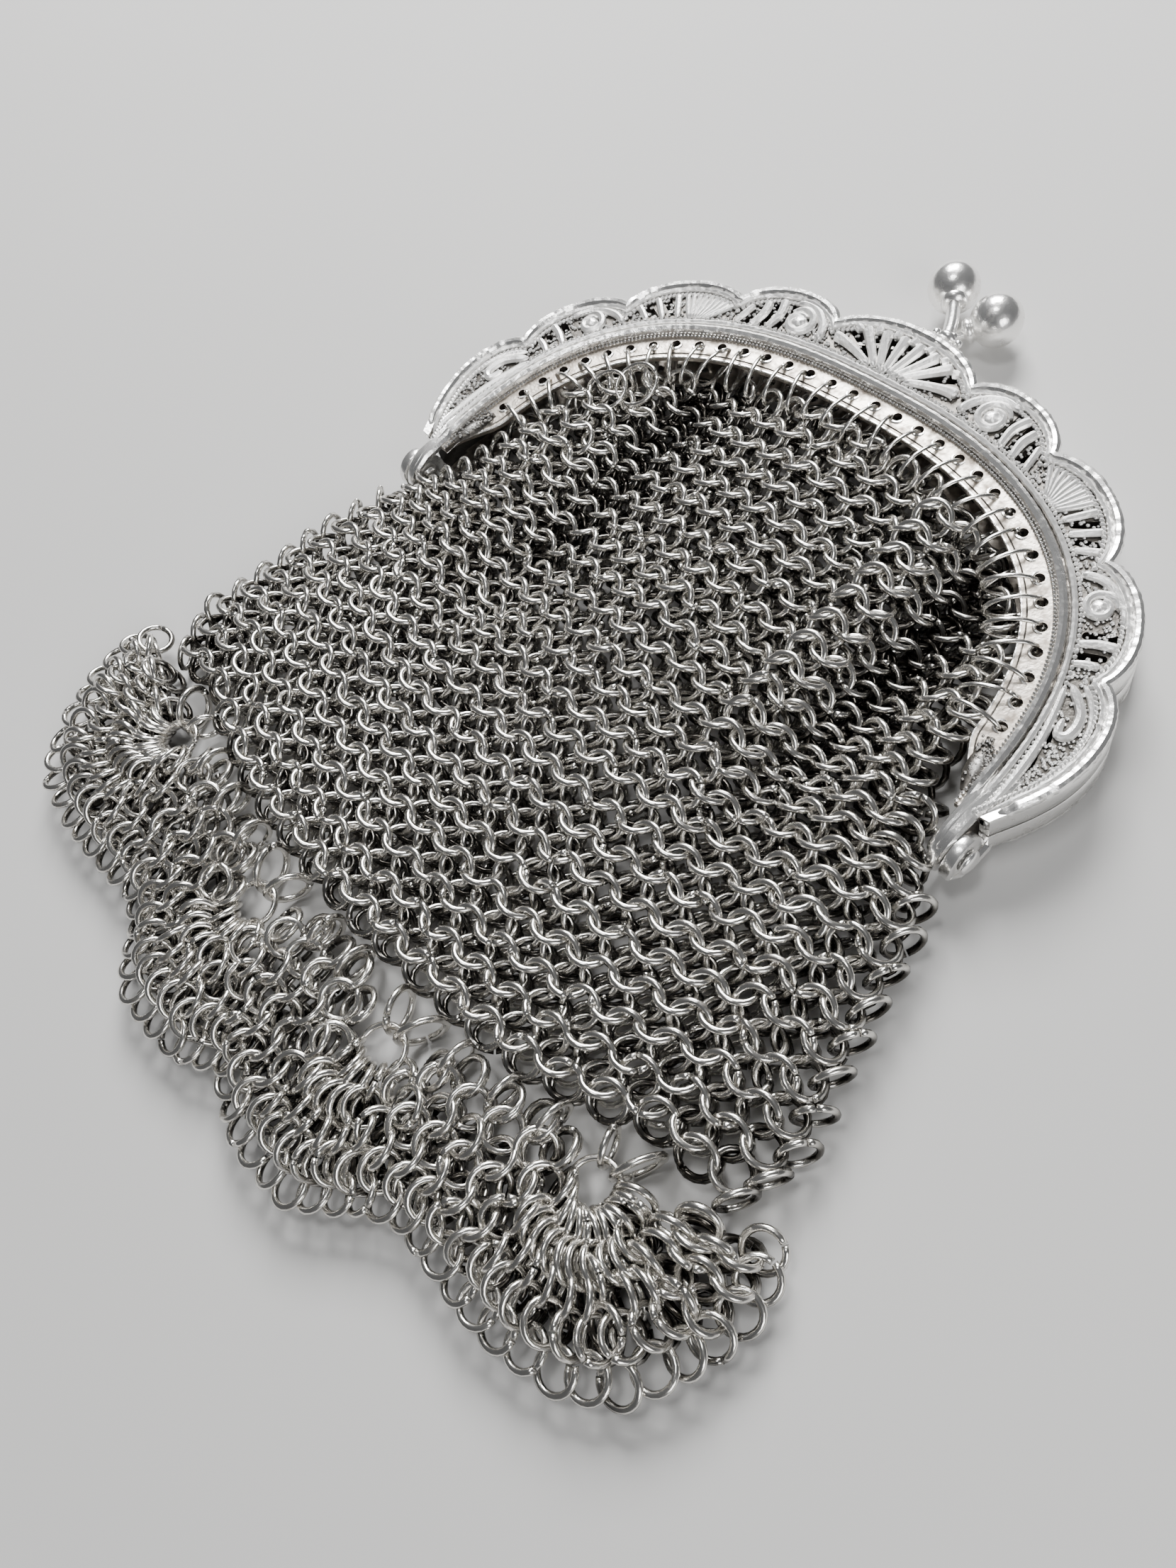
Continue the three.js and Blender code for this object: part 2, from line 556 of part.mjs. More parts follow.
function eyelet(at) {
  const hole = new THREE.CylinderGeometry(EYELET_RADIUS, EYELET_RADIUS, POUCH_THICKNESS, 6);
  return solid(hole.rotateX(Math.PI / 2).translate(at.x, at.y, RING_MID_Z));
}

function uprightLink({ from, to }) {
  const link = new THREE.TorusGeometry(from.distanceTo(to) / 2, LINK_WIRE, 5, 10);
  link.rotateX(Math.PI / 2).rotateZ(to.clone().sub(from).angle());
  return link.translate((from.x + to.x) / 2, (from.y + to.y) / 2, RING_MID_Z);
}

function starRing({ x, y }, wire, sides = 5, turns = 12) {
  return new THREE.TorusGeometry(STAR_RADIUS, wire, sides, turns).translate(x, y, RING_MID_Z);
}

function pouch() {
  const { outer, inner } = pouchLevels();
  const walls = solid(pouchSkin(outer, 0)).subtract(solid(pouchSkin(inner, POUCH_WALL)));
  const holes = [...starLinks(), ...edgeLinks()].map(({ to }) => eyelet(to));
  return walls.intersect(archRoom()).subtract(joined(holes));
}

// A spoke's two ends, and how thick the hem is where it starts
function spoke({ start, at, x, y }, side) {
  const outer = v2(side * x * HEM_HALF_WIDTH, -y * HEM_DROP);
  if (start === 'edge') {
    const from = at * HEM_HALF_WIDTH;
    return { inner: v2(side * from, pouchEdge(from) - LINK_GAP), outer, half: LIP_THICKNESS / 2 };
  }
  const star = stars.find((one) => one.name === start && one.side === side);
  const way = v2(side * STAR_HOLD * Math.cos(radians(at)), STAR_HOLD * Math.sin(radians(at)));
  return { inner: v2(star.x, star.y).add(way), outer, half: RING_MID_Z - STAR_COVER };
}

function hemSpokes() {
  const right = SPOKES.map((row) => spoke(row, 1));
  const left = SPOKES.slice(1).reverse().map((row) => spoke(row, -1));
  const rows = [...left, ...right];
  return rows.flatMap((row, i) => {
    const next = rows[i + 1];
    if (!next) return [row];
    const middle = {
      inner: row.inner.clone().lerp(next.inner, 0.5),
      outer: row.outer.clone().lerp(next.outer, 0.5),
      half: (row.half + next.half) / 2,
      ridge: true,
    };
    return [row, middle];
  });
}

function hem() {
  const spokes = hemSpokes();
  const section = ({ inner, outer, half, ridge }) => {
    const length = inner.distanceTo(outer);
    const top = HEM_THICKNESS + (ridge ? HEM_RIB / 2 : -HEM_RIB / 2);
    const rise = LIP_LENGTH + LIP_SLOPE;
    return [
      v2(0, RING_MID_Z - half), v2(LIP_LENGTH, RING_MID_Z - half), v2(rise, 0),
      v2(length - HEM_EDGE_ROUND, 0), v2(length, HEM_THICKNESS / 2), v2(length - HEM_EDGE_ROUND, top),
      v2(rise, top), v2(LIP_LENGTH, RING_MID_Z + half),
      v2(0, RING_MID_Z + half),
    ];
  };
  const band = loft(spokes.length, (i) => section(spokes[i]), (i, { x, y }) => {
    const { inner, outer } = spokes[i];
    const at = inner.clone().lerp(outer, x / inner.distanceTo(outer));
    return v3(at.x, at.y, y);
  });
  const channels = stars.map((star) => solid(starRing(star, STAR_WIRE + CLEARANCE, 4, 8)));
  const holes = edgeLinks().map(({ from }) => eyelet(from));
  return solid(band).subtract(joined([...channels, ...holes]));
}

const purse = new THREE.Group();
const assembly = new THREE.Group();
purse.add(assembly);

function place(name, shape, material, parent = assembly) {
  const geometry = shape instanceof THREE.BufferGeometry ? shape : geometryOf(shape);
  const mesh = new THREE.Mesh(geometry, material);
  mesh.name = name;
  parent.add(mesh);
}

// The front jaw lies face up above the meeting plane. The back one is turned over about Y.
const front = new THREE.Group();
front.position.z = MEETING_Z + MEETING_GAP / 2;
const back = new THREE.Group();
back.rotation.y = Math.PI;
back.position.z = MEETING_Z - MEETING_GAP / 2;
assembly.add(front, back);
place('jaw_front', jaw(EAR_INNER_X), silver, front);
place('clasp_knob_front', knob(FRONT_KNOB_HEIGHT), silver, front);
place('jaw_back', jaw(EAR_INNER_X + EAR_THICKNESS + CLEARANCE), silver, back);
place('clasp_knob_back', knob(BACK_KNOB_HEIGHT), silver, back);
for (const [name, side] of [['right', 1], ['left', -1]]) {
  const pin = rivet().scale(side, 1, 1).translate(0, 0, MEETING_Z);
  place(`hinge_pin_${name}`, solid(pin), silver);
}
place('mesh_pouch', pouch(), nickel);
place('mesh_hem', hem(), nickel);
stars.forEach((star, i) => place(`star_ring_${i + 1}`, starRing(star, STAR_WIRE), nickel));
starLinks().forEach((link, i) => place(`star_link_${i + 1}`, uprightLink(link), nickel));
edgeLinks().forEach((link, i) => place(`edge_link_${i + 1}`, uprightLink(link), nickel));

// Origin at the middle of the footprint, on the table
const box = new THREE.Box3().setFromObject(purse);
const middle = box.getCenter(v3(0, 0, 0));
assembly.position.set(-middle.x, -middle.y, -box.min.z);

export default purse;
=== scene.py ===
import math
import random

import bmesh
import bpy
from mathutils import Matrix, Vector, noise


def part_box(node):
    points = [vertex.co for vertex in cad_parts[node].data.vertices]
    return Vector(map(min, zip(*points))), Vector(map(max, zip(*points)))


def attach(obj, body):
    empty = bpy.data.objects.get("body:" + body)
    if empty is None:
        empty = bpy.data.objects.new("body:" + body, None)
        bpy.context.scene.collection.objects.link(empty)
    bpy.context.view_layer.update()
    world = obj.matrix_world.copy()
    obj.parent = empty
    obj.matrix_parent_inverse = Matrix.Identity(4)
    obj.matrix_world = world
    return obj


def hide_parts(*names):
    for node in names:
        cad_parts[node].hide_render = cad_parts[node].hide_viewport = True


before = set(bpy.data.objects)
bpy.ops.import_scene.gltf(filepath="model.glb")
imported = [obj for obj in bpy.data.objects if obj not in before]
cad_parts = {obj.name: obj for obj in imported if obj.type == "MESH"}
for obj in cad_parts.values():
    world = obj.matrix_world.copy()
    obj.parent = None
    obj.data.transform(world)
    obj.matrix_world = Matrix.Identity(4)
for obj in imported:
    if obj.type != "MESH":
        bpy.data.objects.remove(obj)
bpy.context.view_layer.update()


# Camera
# The purse lies on a table and is seen from above its right side, about 60 degrees above the
# floor, with the picture turned. Where it stands is worked out from the frame's own arch.
PHOTO_LONG_SIDE = 2212
PHOTO_FOCAL = 1660
CAMERA_SPOT = (0.048884, -0.022738, 0.081847)
CAMERA_TURN = (26.164, 14.614, 45.667)

camera = bpy.data.objects.new("camera", bpy.data.cameras.new("camera"))
camera.data.sensor_width = 36
camera.data.lens = camera.data.sensor_width * PHOTO_FOCAL / PHOTO_LONG_SIDE
camera.data.clip_start = 0.001
camera.location = CAMERA_SPOT
camera.rotation_euler = [math.radians(turn) for turn in CAMERA_TURN]
bpy.context.collection.objects.link(camera)
bpy.context.scene.camera = camera


# Cast plate of a jaw
# Each jaw is one silver casting: an arch with a sewing flange inside, a rail, and a lobed and
# pierced plate outside. It is cast in sand, pierced with a saw and drilled along the flange.
MM = 0.001
RAIL_HALF_WIDTH = 29.2
ARCH_SHOULDER = 3.0
ARCH_RISE = 25.5
ARCH_SQUARENESS = 2.5
LEG_END = 2.3
PLATE_UNDER = 1.1
PLATE_TOP = 1.9
FLANGE_WIDTH = 3.2
FLANGE_FOOT_WIDTH = 0.9
FLANGE_RUN_OUT = 0.13
FLANGE_TOP = 1.6
RIDGE_HALF = 0.75
BORDER_WIDTH = 1.3
RIM_INSET = 0.5
LOBE_REACH = 6.3
# Lobes from the hinge to the crown: where each starts and ends, how far it stands out at its
# ends and its peak as shares of the reach, and how its peak leans.
LOBES = {
    "leaf": (0, 0.264, 0.32, 0.54, 0.76, 1.5),
    "curl": (0.264, 0.458, 0.54, 0.51, 0.8, 1),
    "shell": (0.458, 0.665, 0.51, 0.56, 0.82, 1),
    "scroll": (0.665, 0.853, 0.56, 0.6, 0.9, 1),
    "fan": (0.853, 1.147, 0.6, 0.6, 1, 1),
}


def mix(a, b, share):
    return a + (b - a) * share


def smooth(value, low, high):
    share = min(max((value - low) / (high - low), 0), 1)
    return share * share * (3 - 2 * share)


def arch_points(steps=900):
    """The middle line of the rail: a squared half oval between two short straight legs."""
    points = [Vector((RAIL_HALF_WIDTH, LEG_END))]
    for i in range(2 * steps + 1):
        turn = math.pi / 2 * i / steps
        side = math.copysign(abs(math.cos(turn)) ** (2 / ARCH_SQUARENESS), math.cos(turn))
        rise = abs(math.sin(turn)) ** (2 / ARCH_SQUARENESS)
        points.append(Vector((RAIL_HALF_WIDTH * side, ARCH_SHOULDER + ARCH_RISE * rise)))
    points.append(Vector((-RAIL_HALF_WIDTH, LEG_END)))
    return points


arch = arch_points()
arch_lengths = [0.0]
for before, after in zip(arch, arch[1:]):
    arch_lengths.append(arch_lengths[-1] + (after - before).length)
ARCH_LENGTH = arch_lengths[-1]


def rail(t):
    """The middle of the rail at a share of its length, from the right hinge to the left one."""
    want = min(max(t, 0), 1) * ARCH_LENGTH
    low, high = 0, len(arch) - 1
    while high - low > 1:
        half = (low + high) // 2
        if arch_lengths[half] <= want:
            low = half
        else:
            high = half
    step = arch_lengths[high] - arch_lengths[low]
    return arch[low].lerp(arch[high], (want - arch_lengths[low]) / step if step else 0)


def outward(t):
    """The way out from the arch, square to the rail."""
    along = rail(min(t + 0.002, 1)) - rail(max(t - 0.002, 0))
    return Vector((along.y, -along.x)).normalized()


def on_jaw(t, out, height):
    flat = rail(t) + outward(t) * out
    return Vector((flat.x, flat.y, height))


def from_hinge(t):
    """0 at either hinge and 1 at the crown."""
    return 1 - abs(2 * t - 1)


def lobe_edge(t):
    """How far the lobed rim stands out from the middle of the rail."""
    share = from_hinge(t)
    for start, end, low, high, peak, lean in LOBES.values():
        if share <= end:
            u = min(max((share - start) / (end - start), 0), 1)
            arched = (1 - abs(2 * u ** lean - 1) ** 2.2) ** 0.75
            return LOBE_REACH * (mix(low, high, u) + (peak - (low + high) / 2) * arched)
    return 0


def flange_width(t):
    return mix(FLANGE_FOOT_WIDTH, FLANGE_WIDTH, smooth(from_hinge(t), 0, FLANGE_RUN_OUT))


def on_lobe(name, across, up, side, height):
    """A spot on a lobe: across runs from -1 at its hinge side to 1, up from the rail to the rim."""
    start, end = LOBES[name][:2]
    share = mix(start, end, (across + 1) / 2)
    t = share / 2 if side > 0 else 1 - share / 2
    out = mix(RIDGE_HALF, lobe_edge(t) - BORDER_WIDTH, up)
    return on_jaw(t, out, height)


def finished(bm, name):
    """The mesh of a bmesh, smooth shaded and with its faces turned outwards."""
    bmesh.ops.recalc_face_normals(bm, faces=bm.faces[:])
    mesh = bpy.data.meshes.new(name)
    bm.to_mesh(mesh)
    bm.free()
    mesh.shade_smooth()
    return mesh


def noise_texture(nodes, links, place, scale, detail):
    texture = nodes.new("ShaderNodeTexNoise")
    texture.inputs["Scale"].default_value = scale
    texture.inputs["Detail"].default_value = detail
    links.new(place.outputs["Object"], texture.inputs["Vector"])
    return texture


def between_heights(nodes, links, place, low, high, soft):
    """1 between two heights in millimetres, and 0 past them."""
    height = nodes.new("ShaderNodeSeparateXYZ")
    links.new(place.outputs["Object"], height.inputs["Vector"])
    between = nodes.new("ShaderNodeMath")
    between.operation = "SUBTRACT"
    for level, side in ((low, between.inputs[0]), (high, between.inputs[1])):
        ramp = nodes.new("ShaderNodeMapRange")
        ramp.interpolation_type = "SMOOTHSTEP"
        ramp.inputs["From Min"].default_value = (level - soft) * MM
        ramp.inputs["From Max"].default_value = (level + soft) * MM
        links.new(height.outputs["Z"], ramp.inputs["Value"])
        links.new(ramp.outputs["Result"], side)
    return between.outputs["Value"]


HOLLOW_SHADE = 0.2


def darkened(nodes, links, tint, shade_mask, tarnish):
    """The colour of a metal with painted shade: darkened towards black as far as the mask goes."""
    dark = nodes.new("ShaderNodeMix")
    dark.data_type = "RGBA"
    dark.inputs["B"].default_value = (*[HOLLOW_SHADE * part for part in tarnish], 1)
    links.new(shade_mask, dark.inputs["Factor"])
    links.new(tint.outputs["Result"], dark.inputs["A"])
    return dark


CLOUD_SCALE = 900
TARNISH_FADE = 0.28
TARNISH_DULLS = 0.25
GRAIN_DEPTH = 0.00005


def metal(name, colour, tarnish, roughness, grain, grain_size, tarnish_share, painted_shade_band=None,
          frost=0.0, painted_shade_map=None):
    """A metal with clouds of tarnish over it, uneven gloss and a fine cast or drawn surface.

    dull holds two heights in millimetres, between which painted shade darkens it towards black,
    and how softly they end. frost is how much of its light a matt cast skin scatters. hollow
    names the attribute that says where painted shade darkens it."""
    material = bpy.data.materials.new(name)
    material.use_nodes = True
    nodes, links = material.node_tree.nodes, material.node_tree.links
    shader = nodes["Principled BSDF"]
    shader.inputs["Metallic"].default_value = 1 - frost
    place = nodes.new("ShaderNodeTexCoord")
    cloud = noise_texture(nodes, links, place, CLOUD_SCALE, 2)
    cloud.inputs["Roughness"].default_value = 0.65
    patch = nodes.new("ShaderNodeMapRange")
    patch.inputs["From Min"].default_value = tarnish_share
    patch.inputs["From Max"].default_value = tarnish_share + TARNISH_FADE
    tint = nodes.new("ShaderNodeMix")
    tint.data_type = "RGBA"
    tint.inputs["A"].default_value = (*colour, 1)
    tint.inputs["B"].default_value = (*tarnish, 1)
    gloss = nodes.new("ShaderNodeMapRange")
    gloss.inputs["To Min"].default_value = roughness
    gloss.inputs["To Max"].default_value = min(roughness + TARNISH_DULLS, 1)
    speck = noise_texture(nodes, links, place, grain_size, 3)
    bump = nodes.new("ShaderNodeBump")
    bump.inputs["Strength"].default_value = grain
    bump.inputs["Distance"].default_value = GRAIN_DEPTH
    links.new(cloud.outputs["Fac"], patch.inputs["Value"])
    links.new(patch.outputs["Result"], tint.inputs["Factor"])
    if painted_shade_band:
        shade_mask = between_heights(nodes, links, place, *painted_shade_band)
        tint = darkened(nodes, links, tint, shade_mask, tarnish)
    if painted_shade_map:
        mark = nodes.new("ShaderNodeAttribute")
        mark.attribute_name = painted_shade_map
        tint = darkened(nodes, links, tint, mark.outputs["Fac"], tarnish)
    links.new(tint.outputs["Result"], shader.inputs["Base Color"])
    links.new(patch.outputs["Result"], gloss.inputs["Value"])
    links.new(gloss.outputs["Result"], shader.inputs["Roughness"])
    links.new(speck.outputs["Fac"], bump.inputs["Height"])
    links.new(bump.outputs["Normal"], shader.inputs["Normal"])
    return material


# Painted shade: from 0.74 to 5.06 mm above the table, under the relief's tops, it is darkened.
cast_silver = metal("frosted_cast_silver", colour=(0.95, 0.94, 0.92), tarnish=(0.52, 0.48, 0.43),
                    roughness=0.36, grain=0.7, grain_size=3600, tarnish_share=0.62,
                    painted_shade_band=(0.74, 5.06, 0.12), frost=0.2)
# Painted shade: the walls of the saw cuts and drilled holes are darkened nearly to black.
dark_silver = metal("silver_with_painted_shade_in_cuts", colour=(0.17, 0.152, 0.136), tarnish=(0.085, 0.074, 0.064),
                    roughness=0.45, grain=0.6, grain_size=4200, tarnish_share=0.45)
rim_silver = metal("rubbed_silver", colour=(0.95, 0.94, 0.92), tarnish=(0.66, 0.63, 0.59),
                   roughness=0.25, grain=0.4, grain_size=3000, tarnish_share=0.6, frost=0.06)
flange_silver = metal("tarnished_silver", colour=(0.53, 0.485, 0.43), tarnish=(0.26, 0.225, 0.19),
                      roughness=0.34, grain=0.6, grain_size=3800, tarnish_share=0.42)
SILVERS = [cast_silver, dark_silver, rim_silver, flange_silver]
CAST, DARK, RIM, FLANGE = 0, 1, 2, 3

PLATE_ROWS = 300
PLATE_COLUMNS = 12


def inside_rail(spot, steps=200):
    """Whether a spot of the plate lies on the flange's side of the rail."""
    near = min(range(steps + 1), key=lambda i: (rail(i / steps) - spot).length) / steps
    return (spot - rail(near)).dot(outward(near)) < 0


def plate_mesh():
    """A grid is laid along the arch from the flange's edge to the rim, and given its thickness."""
    bm = bmesh.new()
    bmesh.ops.create_grid(bm, x_segments=PLATE_ROWS, y_segments=PLATE_COLUMNS, size=0.5)
    for vert in bm.verts:
        t = vert.co.x + 0.5
        share = vert.co.y + 0.5
        out = mix(-flange_width(t), lobe_edge(t) - RIM_INSET, share)
        height = mix(FLANGE_TOP, PLATE_TOP, smooth(out, -RIDGE_HALF, RIDGE_HALF))
        vert.co = on_jaw(t, out, height)
    bmesh.ops.recalc_face_normals(bm, faces=bm.faces[:])
    if sum(face.normal.z for face in bm.faces) < 0:
        bmesh.ops.reverse_faces(bm, faces=bm.faces[:])
    for face in bm.faces:
        middle = face.calc_center_median().to_2d()
        face.material_index = FLANGE if inside_rail(middle) else CAST
    lowered = bmesh.ops.extrude_face_region(bm, geom=bm.faces[:], use_keep_orig=True)
    for item in lowered["geom"]:
        if isinstance(item, bmesh.types.BMVert):
            item.co.z = PLATE_UNDER
    return finished(bm, "plate")


SLOT_WIDTH = 0.95
CUT_DEPTH = 3
FAN_GAPS = (-0.74, -0.5, -0.25, 0, 0.25, 0.5, 0.74)
# Slots of each lobe: where they start and end, across and up, and how wide they are at each end.
SLOTS = {
    "fan": [(gap * 0.34, 0.16, gap, 0.9, 0.35, 0.9) for gap in FAN_GAPS],
    "scroll": [(-0.1, 0.12, -0.02, 0.88, 0.7, 0.7), (-0.42, 0.1, -0.32, 0.84, 0.8, 0.7),
               (-0.74, 0.08, -0.6, 0.7, 0.8, 0.6)],
    "shell": [(-0.2, 0.3, -0.32, 0.84, 0.6, 0.8), (-0.5, 0.22, -0.64, 0.72, 0.6, 0.8)],
    "curl": [(-0.2, 0.2, -0.22, 0.86, 0.7, 0.7), (-0.56, 0.14, -0.56, 0.72, 0.7, 0.6)],
    "leaf": [(0.3, 0.2, 0.12, 0.3, 0.5, 0.5), (-0.05, 0.24, -0.2, 0.34, 0.5, 0.5)],
}
SEWING_HOLE_RADIUS = 0.42
SEWING_HOLE_PITCH = 2.3
SEWING_HOLE_INSET = 1.5
SEWING_START = 0.15
hole_count = round(ARCH_LENGTH * (1 - SEWING_START) / SEWING_HOLE_PITCH)
hole_places = [mix(SEWING_START / 2, 1 - SEWING_START / 2, i / (hole_count - 1))
               for i in range(hole_count)]


def saw_cut(foot, head, foot_radius, head_radius):
    """The tool that cuts one slot: two upright cones in one skin."""
    bm = bmesh.new()
    for place, radius in ((foot, foot_radius), (head, head_radius)):
        bmesh.ops.create_cone(bm, cap_ends=True, segments=12, radius1=radius, radius2=radius,
                              depth=CUT_DEPTH, matrix=Matrix.Translation(place))
    bmesh.ops.delete(bm, geom=bm.edges[:], context="EDGES_FACES")
    hull = bmesh.ops.convex_hull(bm, input=bm.verts[:])
    inside = [item for item in hull["geom_interior"] if isinstance(item, bmesh.types.BMVert)]
    bmesh.ops.delete(bm, geom=inside, context="VERTS")
    return finished(bm, "saw_cut")


def gathered(pieces, name, materials):
    """One mesh of (mesh, material index, matrix) pieces."""
    bm = bmesh.new()
    for mesh, index, matrix in pieces:
        copy = mesh.copy()
        if matrix is not None:
            copy.transform(matrix)
        if index is not None:
            copy.polygons.foreach_set("material_index", [index] * len(copy.polygons))
        bm.from_mesh(copy)
        bpy.data.meshes.remove(copy)
    mesh = bpy.data.meshes.new(name)
    bm.to_mesh(mesh)
    bm.free()
    for material in materials:
        mesh.materials.append(material)
    return mesh


def cutters_mesh():
    """All the saw cuts of the lobes, and the drilled holes of the flange."""
    cuts = []
    for name, slots in SLOTS.items():
        for side in ((1,) if name == "fan" else (1, -1)):
            for across, up, to_across, to_up, foot, head in slots:
                start = on_lobe(name, across, up, side, PLATE_TOP)
                end = on_lobe(name, to_across, to_up, side, PLATE_TOP)
                cuts.append(saw_cut(start, end, foot * SLOT_WIDTH / 2, head * SLOT_WIDTH / 2))
    for t in hole_places:
        place = on_jaw(t, SEWING_HOLE_INSET - flange_width(t), PLATE_TOP)
        beside = place + Vector((0.01, 0, 0))
        cuts.append(saw_cut(place, beside, SEWING_HOLE_RADIUS, SEWING_HOLE_RADIUS))
    # The walls they leave in the plate get painted shade.
    return gathered([(cut, DARK, None) for cut in cuts], "cutters", SILVERS)


def pierced_plate():
    """The plate with its slots and holes cut through."""
    plate = bpy.data.objects.new("plate", plate_mesh())
    tools = bpy.data.objects.new("tools", cutters_mesh())
    for material in SILVERS:
        plate.data.materials.append(material)
    for made in (plate, tools):
        bpy.context.collection.objects.link(made)
    cut = plate.modifiers.new("piercing", "BOOLEAN")
    cut.operation = "DIFFERENCE"
    cut.solver = "EXACT"
    cut.use_self = True
    cut.object = tools
    depsgraph = bpy.context.evaluated_depsgraph_get()
    mesh = bpy.data.meshes.new_from_object(plate.evaluated_get(depsgraph))
    for made in (plate, tools):
        bpy.data.objects.remove(made)
    return mesh


# Rim, rail and ropes of a jaw
# Round lines stand up from the plate: the rim round the lobes with its polished side wall, the
# double ridge of the rail, and rows of small beads beside them. They are cast with the plate.
def lofted(rows):
    """A closed skin through rings of as many points each: the first is extruded to each next."""
    bm = bmesh.new()
    ring = [bm.verts.new(point) for point in rows[0]]
    count = len(ring)
    pairs = [(i, (i + 1) % count) for i in range(count)]
    edges = [bm.edges.new((ring[a], ring[b])) for a, b in pairs]
    first = list(edges)
    for row in rows[1:]:
        moved = bmesh.ops.extrude_edge_only(bm, edges=edges)["geom"]
        fresh = {item for item in moved if isinstance(item, bmesh.types.BMVert)}
        ring = [next(e.other_vert(v) for e in v.link_edges if e.other_vert(v) in fresh) for v in ring]
        for vert, point in zip(ring, row):
            vert.co = point
        edges = [bm.edges.get((ring[a], ring[b])) for a, b in pairs]
    bmesh.ops.holes_fill(bm, edges=first + edges, sides=0)
    return finished(bm, "lofted")


def round_row(middle, along, across, high, sides):
    """A ring of points square to a path. high holds its half width and half height."""
    upward = along.cross(across).normalized()
    return [middle + across * math.cos(2 * math.pi * i / sides) * high[0]
            + upward * math.sin(2 * math.pi * i / sides) * high[1] for i in range(sides)]


def drawn(path, radii, sides=8, flat=1.0):
    """A round bar along a path. flat is its height as a share of its width."""
    rows = []
    for i, (point, radius) in enumerate(zip(path, radii)):
        along = (path[min(i + 1, len(path) - 1)] - path[max(i - 1, 0)]).normalized()
        across = along.cross(Vector((0, 0, 1)))
        if across.length < 1e-4:
            across = Vector((1, 0, 0))
        rows.append(round_row(point, along, across.normalized(), (radius, radius * flat), sides))
    return lofted(rows)


LINE_RUN_OUT = 0.05


def along_arch(out_at, height, radius, steps=420, sides=8, flat=1.0, rough=0.1):
    """A line of relief along the whole arch, a little uneven as it comes out of the sand."""
    places = [i / steps for i in range(steps + 1)]
    end = [smooth(from_hinge(t), 0, LINE_RUN_OUT) for t in places]
    path = [on_jaw(t, out_at(t), height - 0.5 * (1 - share)) for t, share in zip(places, end)]
    uneven = random.Random(int(1000 * radius))
    radii = [radius * mix(0.6, 1, share) * (1 + uneven.uniform(-rough, rough)) for share in end]
    return drawn(path, radii, sides, flat)


WALL_PROFILE = [(-0.8, 0), (-0.06, 0), (0, 0.12), (0, 2.1), (-0.1, 2.35), (-0.8, 2.2)]


def side_wall(steps=300):
    """The upright wall under the rim, from the meeting plane up to the plate."""
    places = [i / steps for i in range(steps + 1)]
    return lofted([[on_jaw(t, lobe_edge(t) + out, height) for out, height in WALL_PROFILE]
                   for t in places])


def bead_mesh(subdivisions=1):
    bm = bmesh.new()
    bmesh.ops.create_icosphere(bm, subdivisions=subdivisions, radius=1)
    return finished(bm, "bead")


bead = bead_mesh()


def beaded(path_at, pitch, radius, length, stretch=1.0, lean=0.0, skin=CAST):
    """Beads in a row: path_at gives the place for a share of the row."""
    count = max(int(length / pitch), 2)
    row = []
    for i in range(count):
        share = (i + 0.5) / count
        place = path_at(share)
        ahead = path_at(min(share + 0.002, 1)) - path_at(max(share - 0.002, 0))
        turn = math.atan2(ahead.y, ahead.x) + lean
        matrix = (Matrix.Translation(place) @ Matrix.Rotation(turn, 4, "Z")
                  @ Matrix.Diagonal((radius * stretch, radius, radius, 1)))
        row.append((bead, skin, matrix))
    return row


def below_rim(depth):
    return lambda t: lobe_edge(t) - depth


def beside_rail(out):
    return lambda t: out


def above_flange_edge(out):
    return lambda t: out - flange_width(t)


def rim_and_rail():
    """The lines of the casting from the rim inwards, then its three rows of beads."""
    lines = [
        (side_wall(), RIM, None),
        (along_arch(below_rim(0.42), 2.28, 0.43, sides=9, flat=1.05), RIM, None),
        (along_arch(below_rim(1.0), 2.2, 0.24, flat=1.3, rough=0.2), CAST, None),
        (along_arch(beside_rail(-0.36), 2.0, 0.4, flat=1.25, rough=0.06), RIM, None),
        (along_arch(beside_rail(0.42), 2.05, 0.26, flat=1.3, rough=0.15), CAST, None),
        (along_arch(above_flange_edge(0.06), 1.52, 0.1, sides=6, flat=1.2), RIM, None),
        (along_arch(above_flange_edge(0.42), 1.6, 0.07, sides=5), CAST, None),
    ]
    rim_length = ARCH_LENGTH * 1.25
    lines += beaded(lambda s: on_jaw(s, lobe_edge(s) - 1.46, 2.12), 0.4, 0.21, rim_length, 1.25, 0.6)
    lines += beaded(lambda s: on_jaw(s, 0.84, 2.08), 0.42, 0.19, ARCH_LENGTH, 1.1)
    lines += beaded(lambda s: on_jaw(s, -0.88, 1.74), 0.36, 0.17, ARCH_LENGTH, skin=RIM)
    return lines


# Ornament of the lobes
# A fan of ribs at the crown, then on each side a scroll, a shell, a small scroll and a leaf with
# a tendril and a granulated field. All of it is cast relief, with the gaps sawn out between.
def lobe_path(name, side, points, height, steps=14):
    """A smooth path through a few (across, up) points of a lobe."""
    count = len(points)
    path = []
    for i in range(steps + 1):
        where = i / steps * (count - 1)
        k = min(int(where), count - 2)
        u = where - k
        a, b = points[max(k - 1, 0)], points[k]
        c, d = points[k + 1], points[min(k + 2, count - 1)]
        spot = [0.5 * (2 * q + (r - p) * u + (2 * p - 5 * q + 4 * r - s) * u * u
                       + (3 * q - p - 3 * r + s) * u ** 3) for p, q, r, s in zip(a, b, c, d)]
        path.append(on_lobe(name, spot[0], spot[1], side, height))
    return path


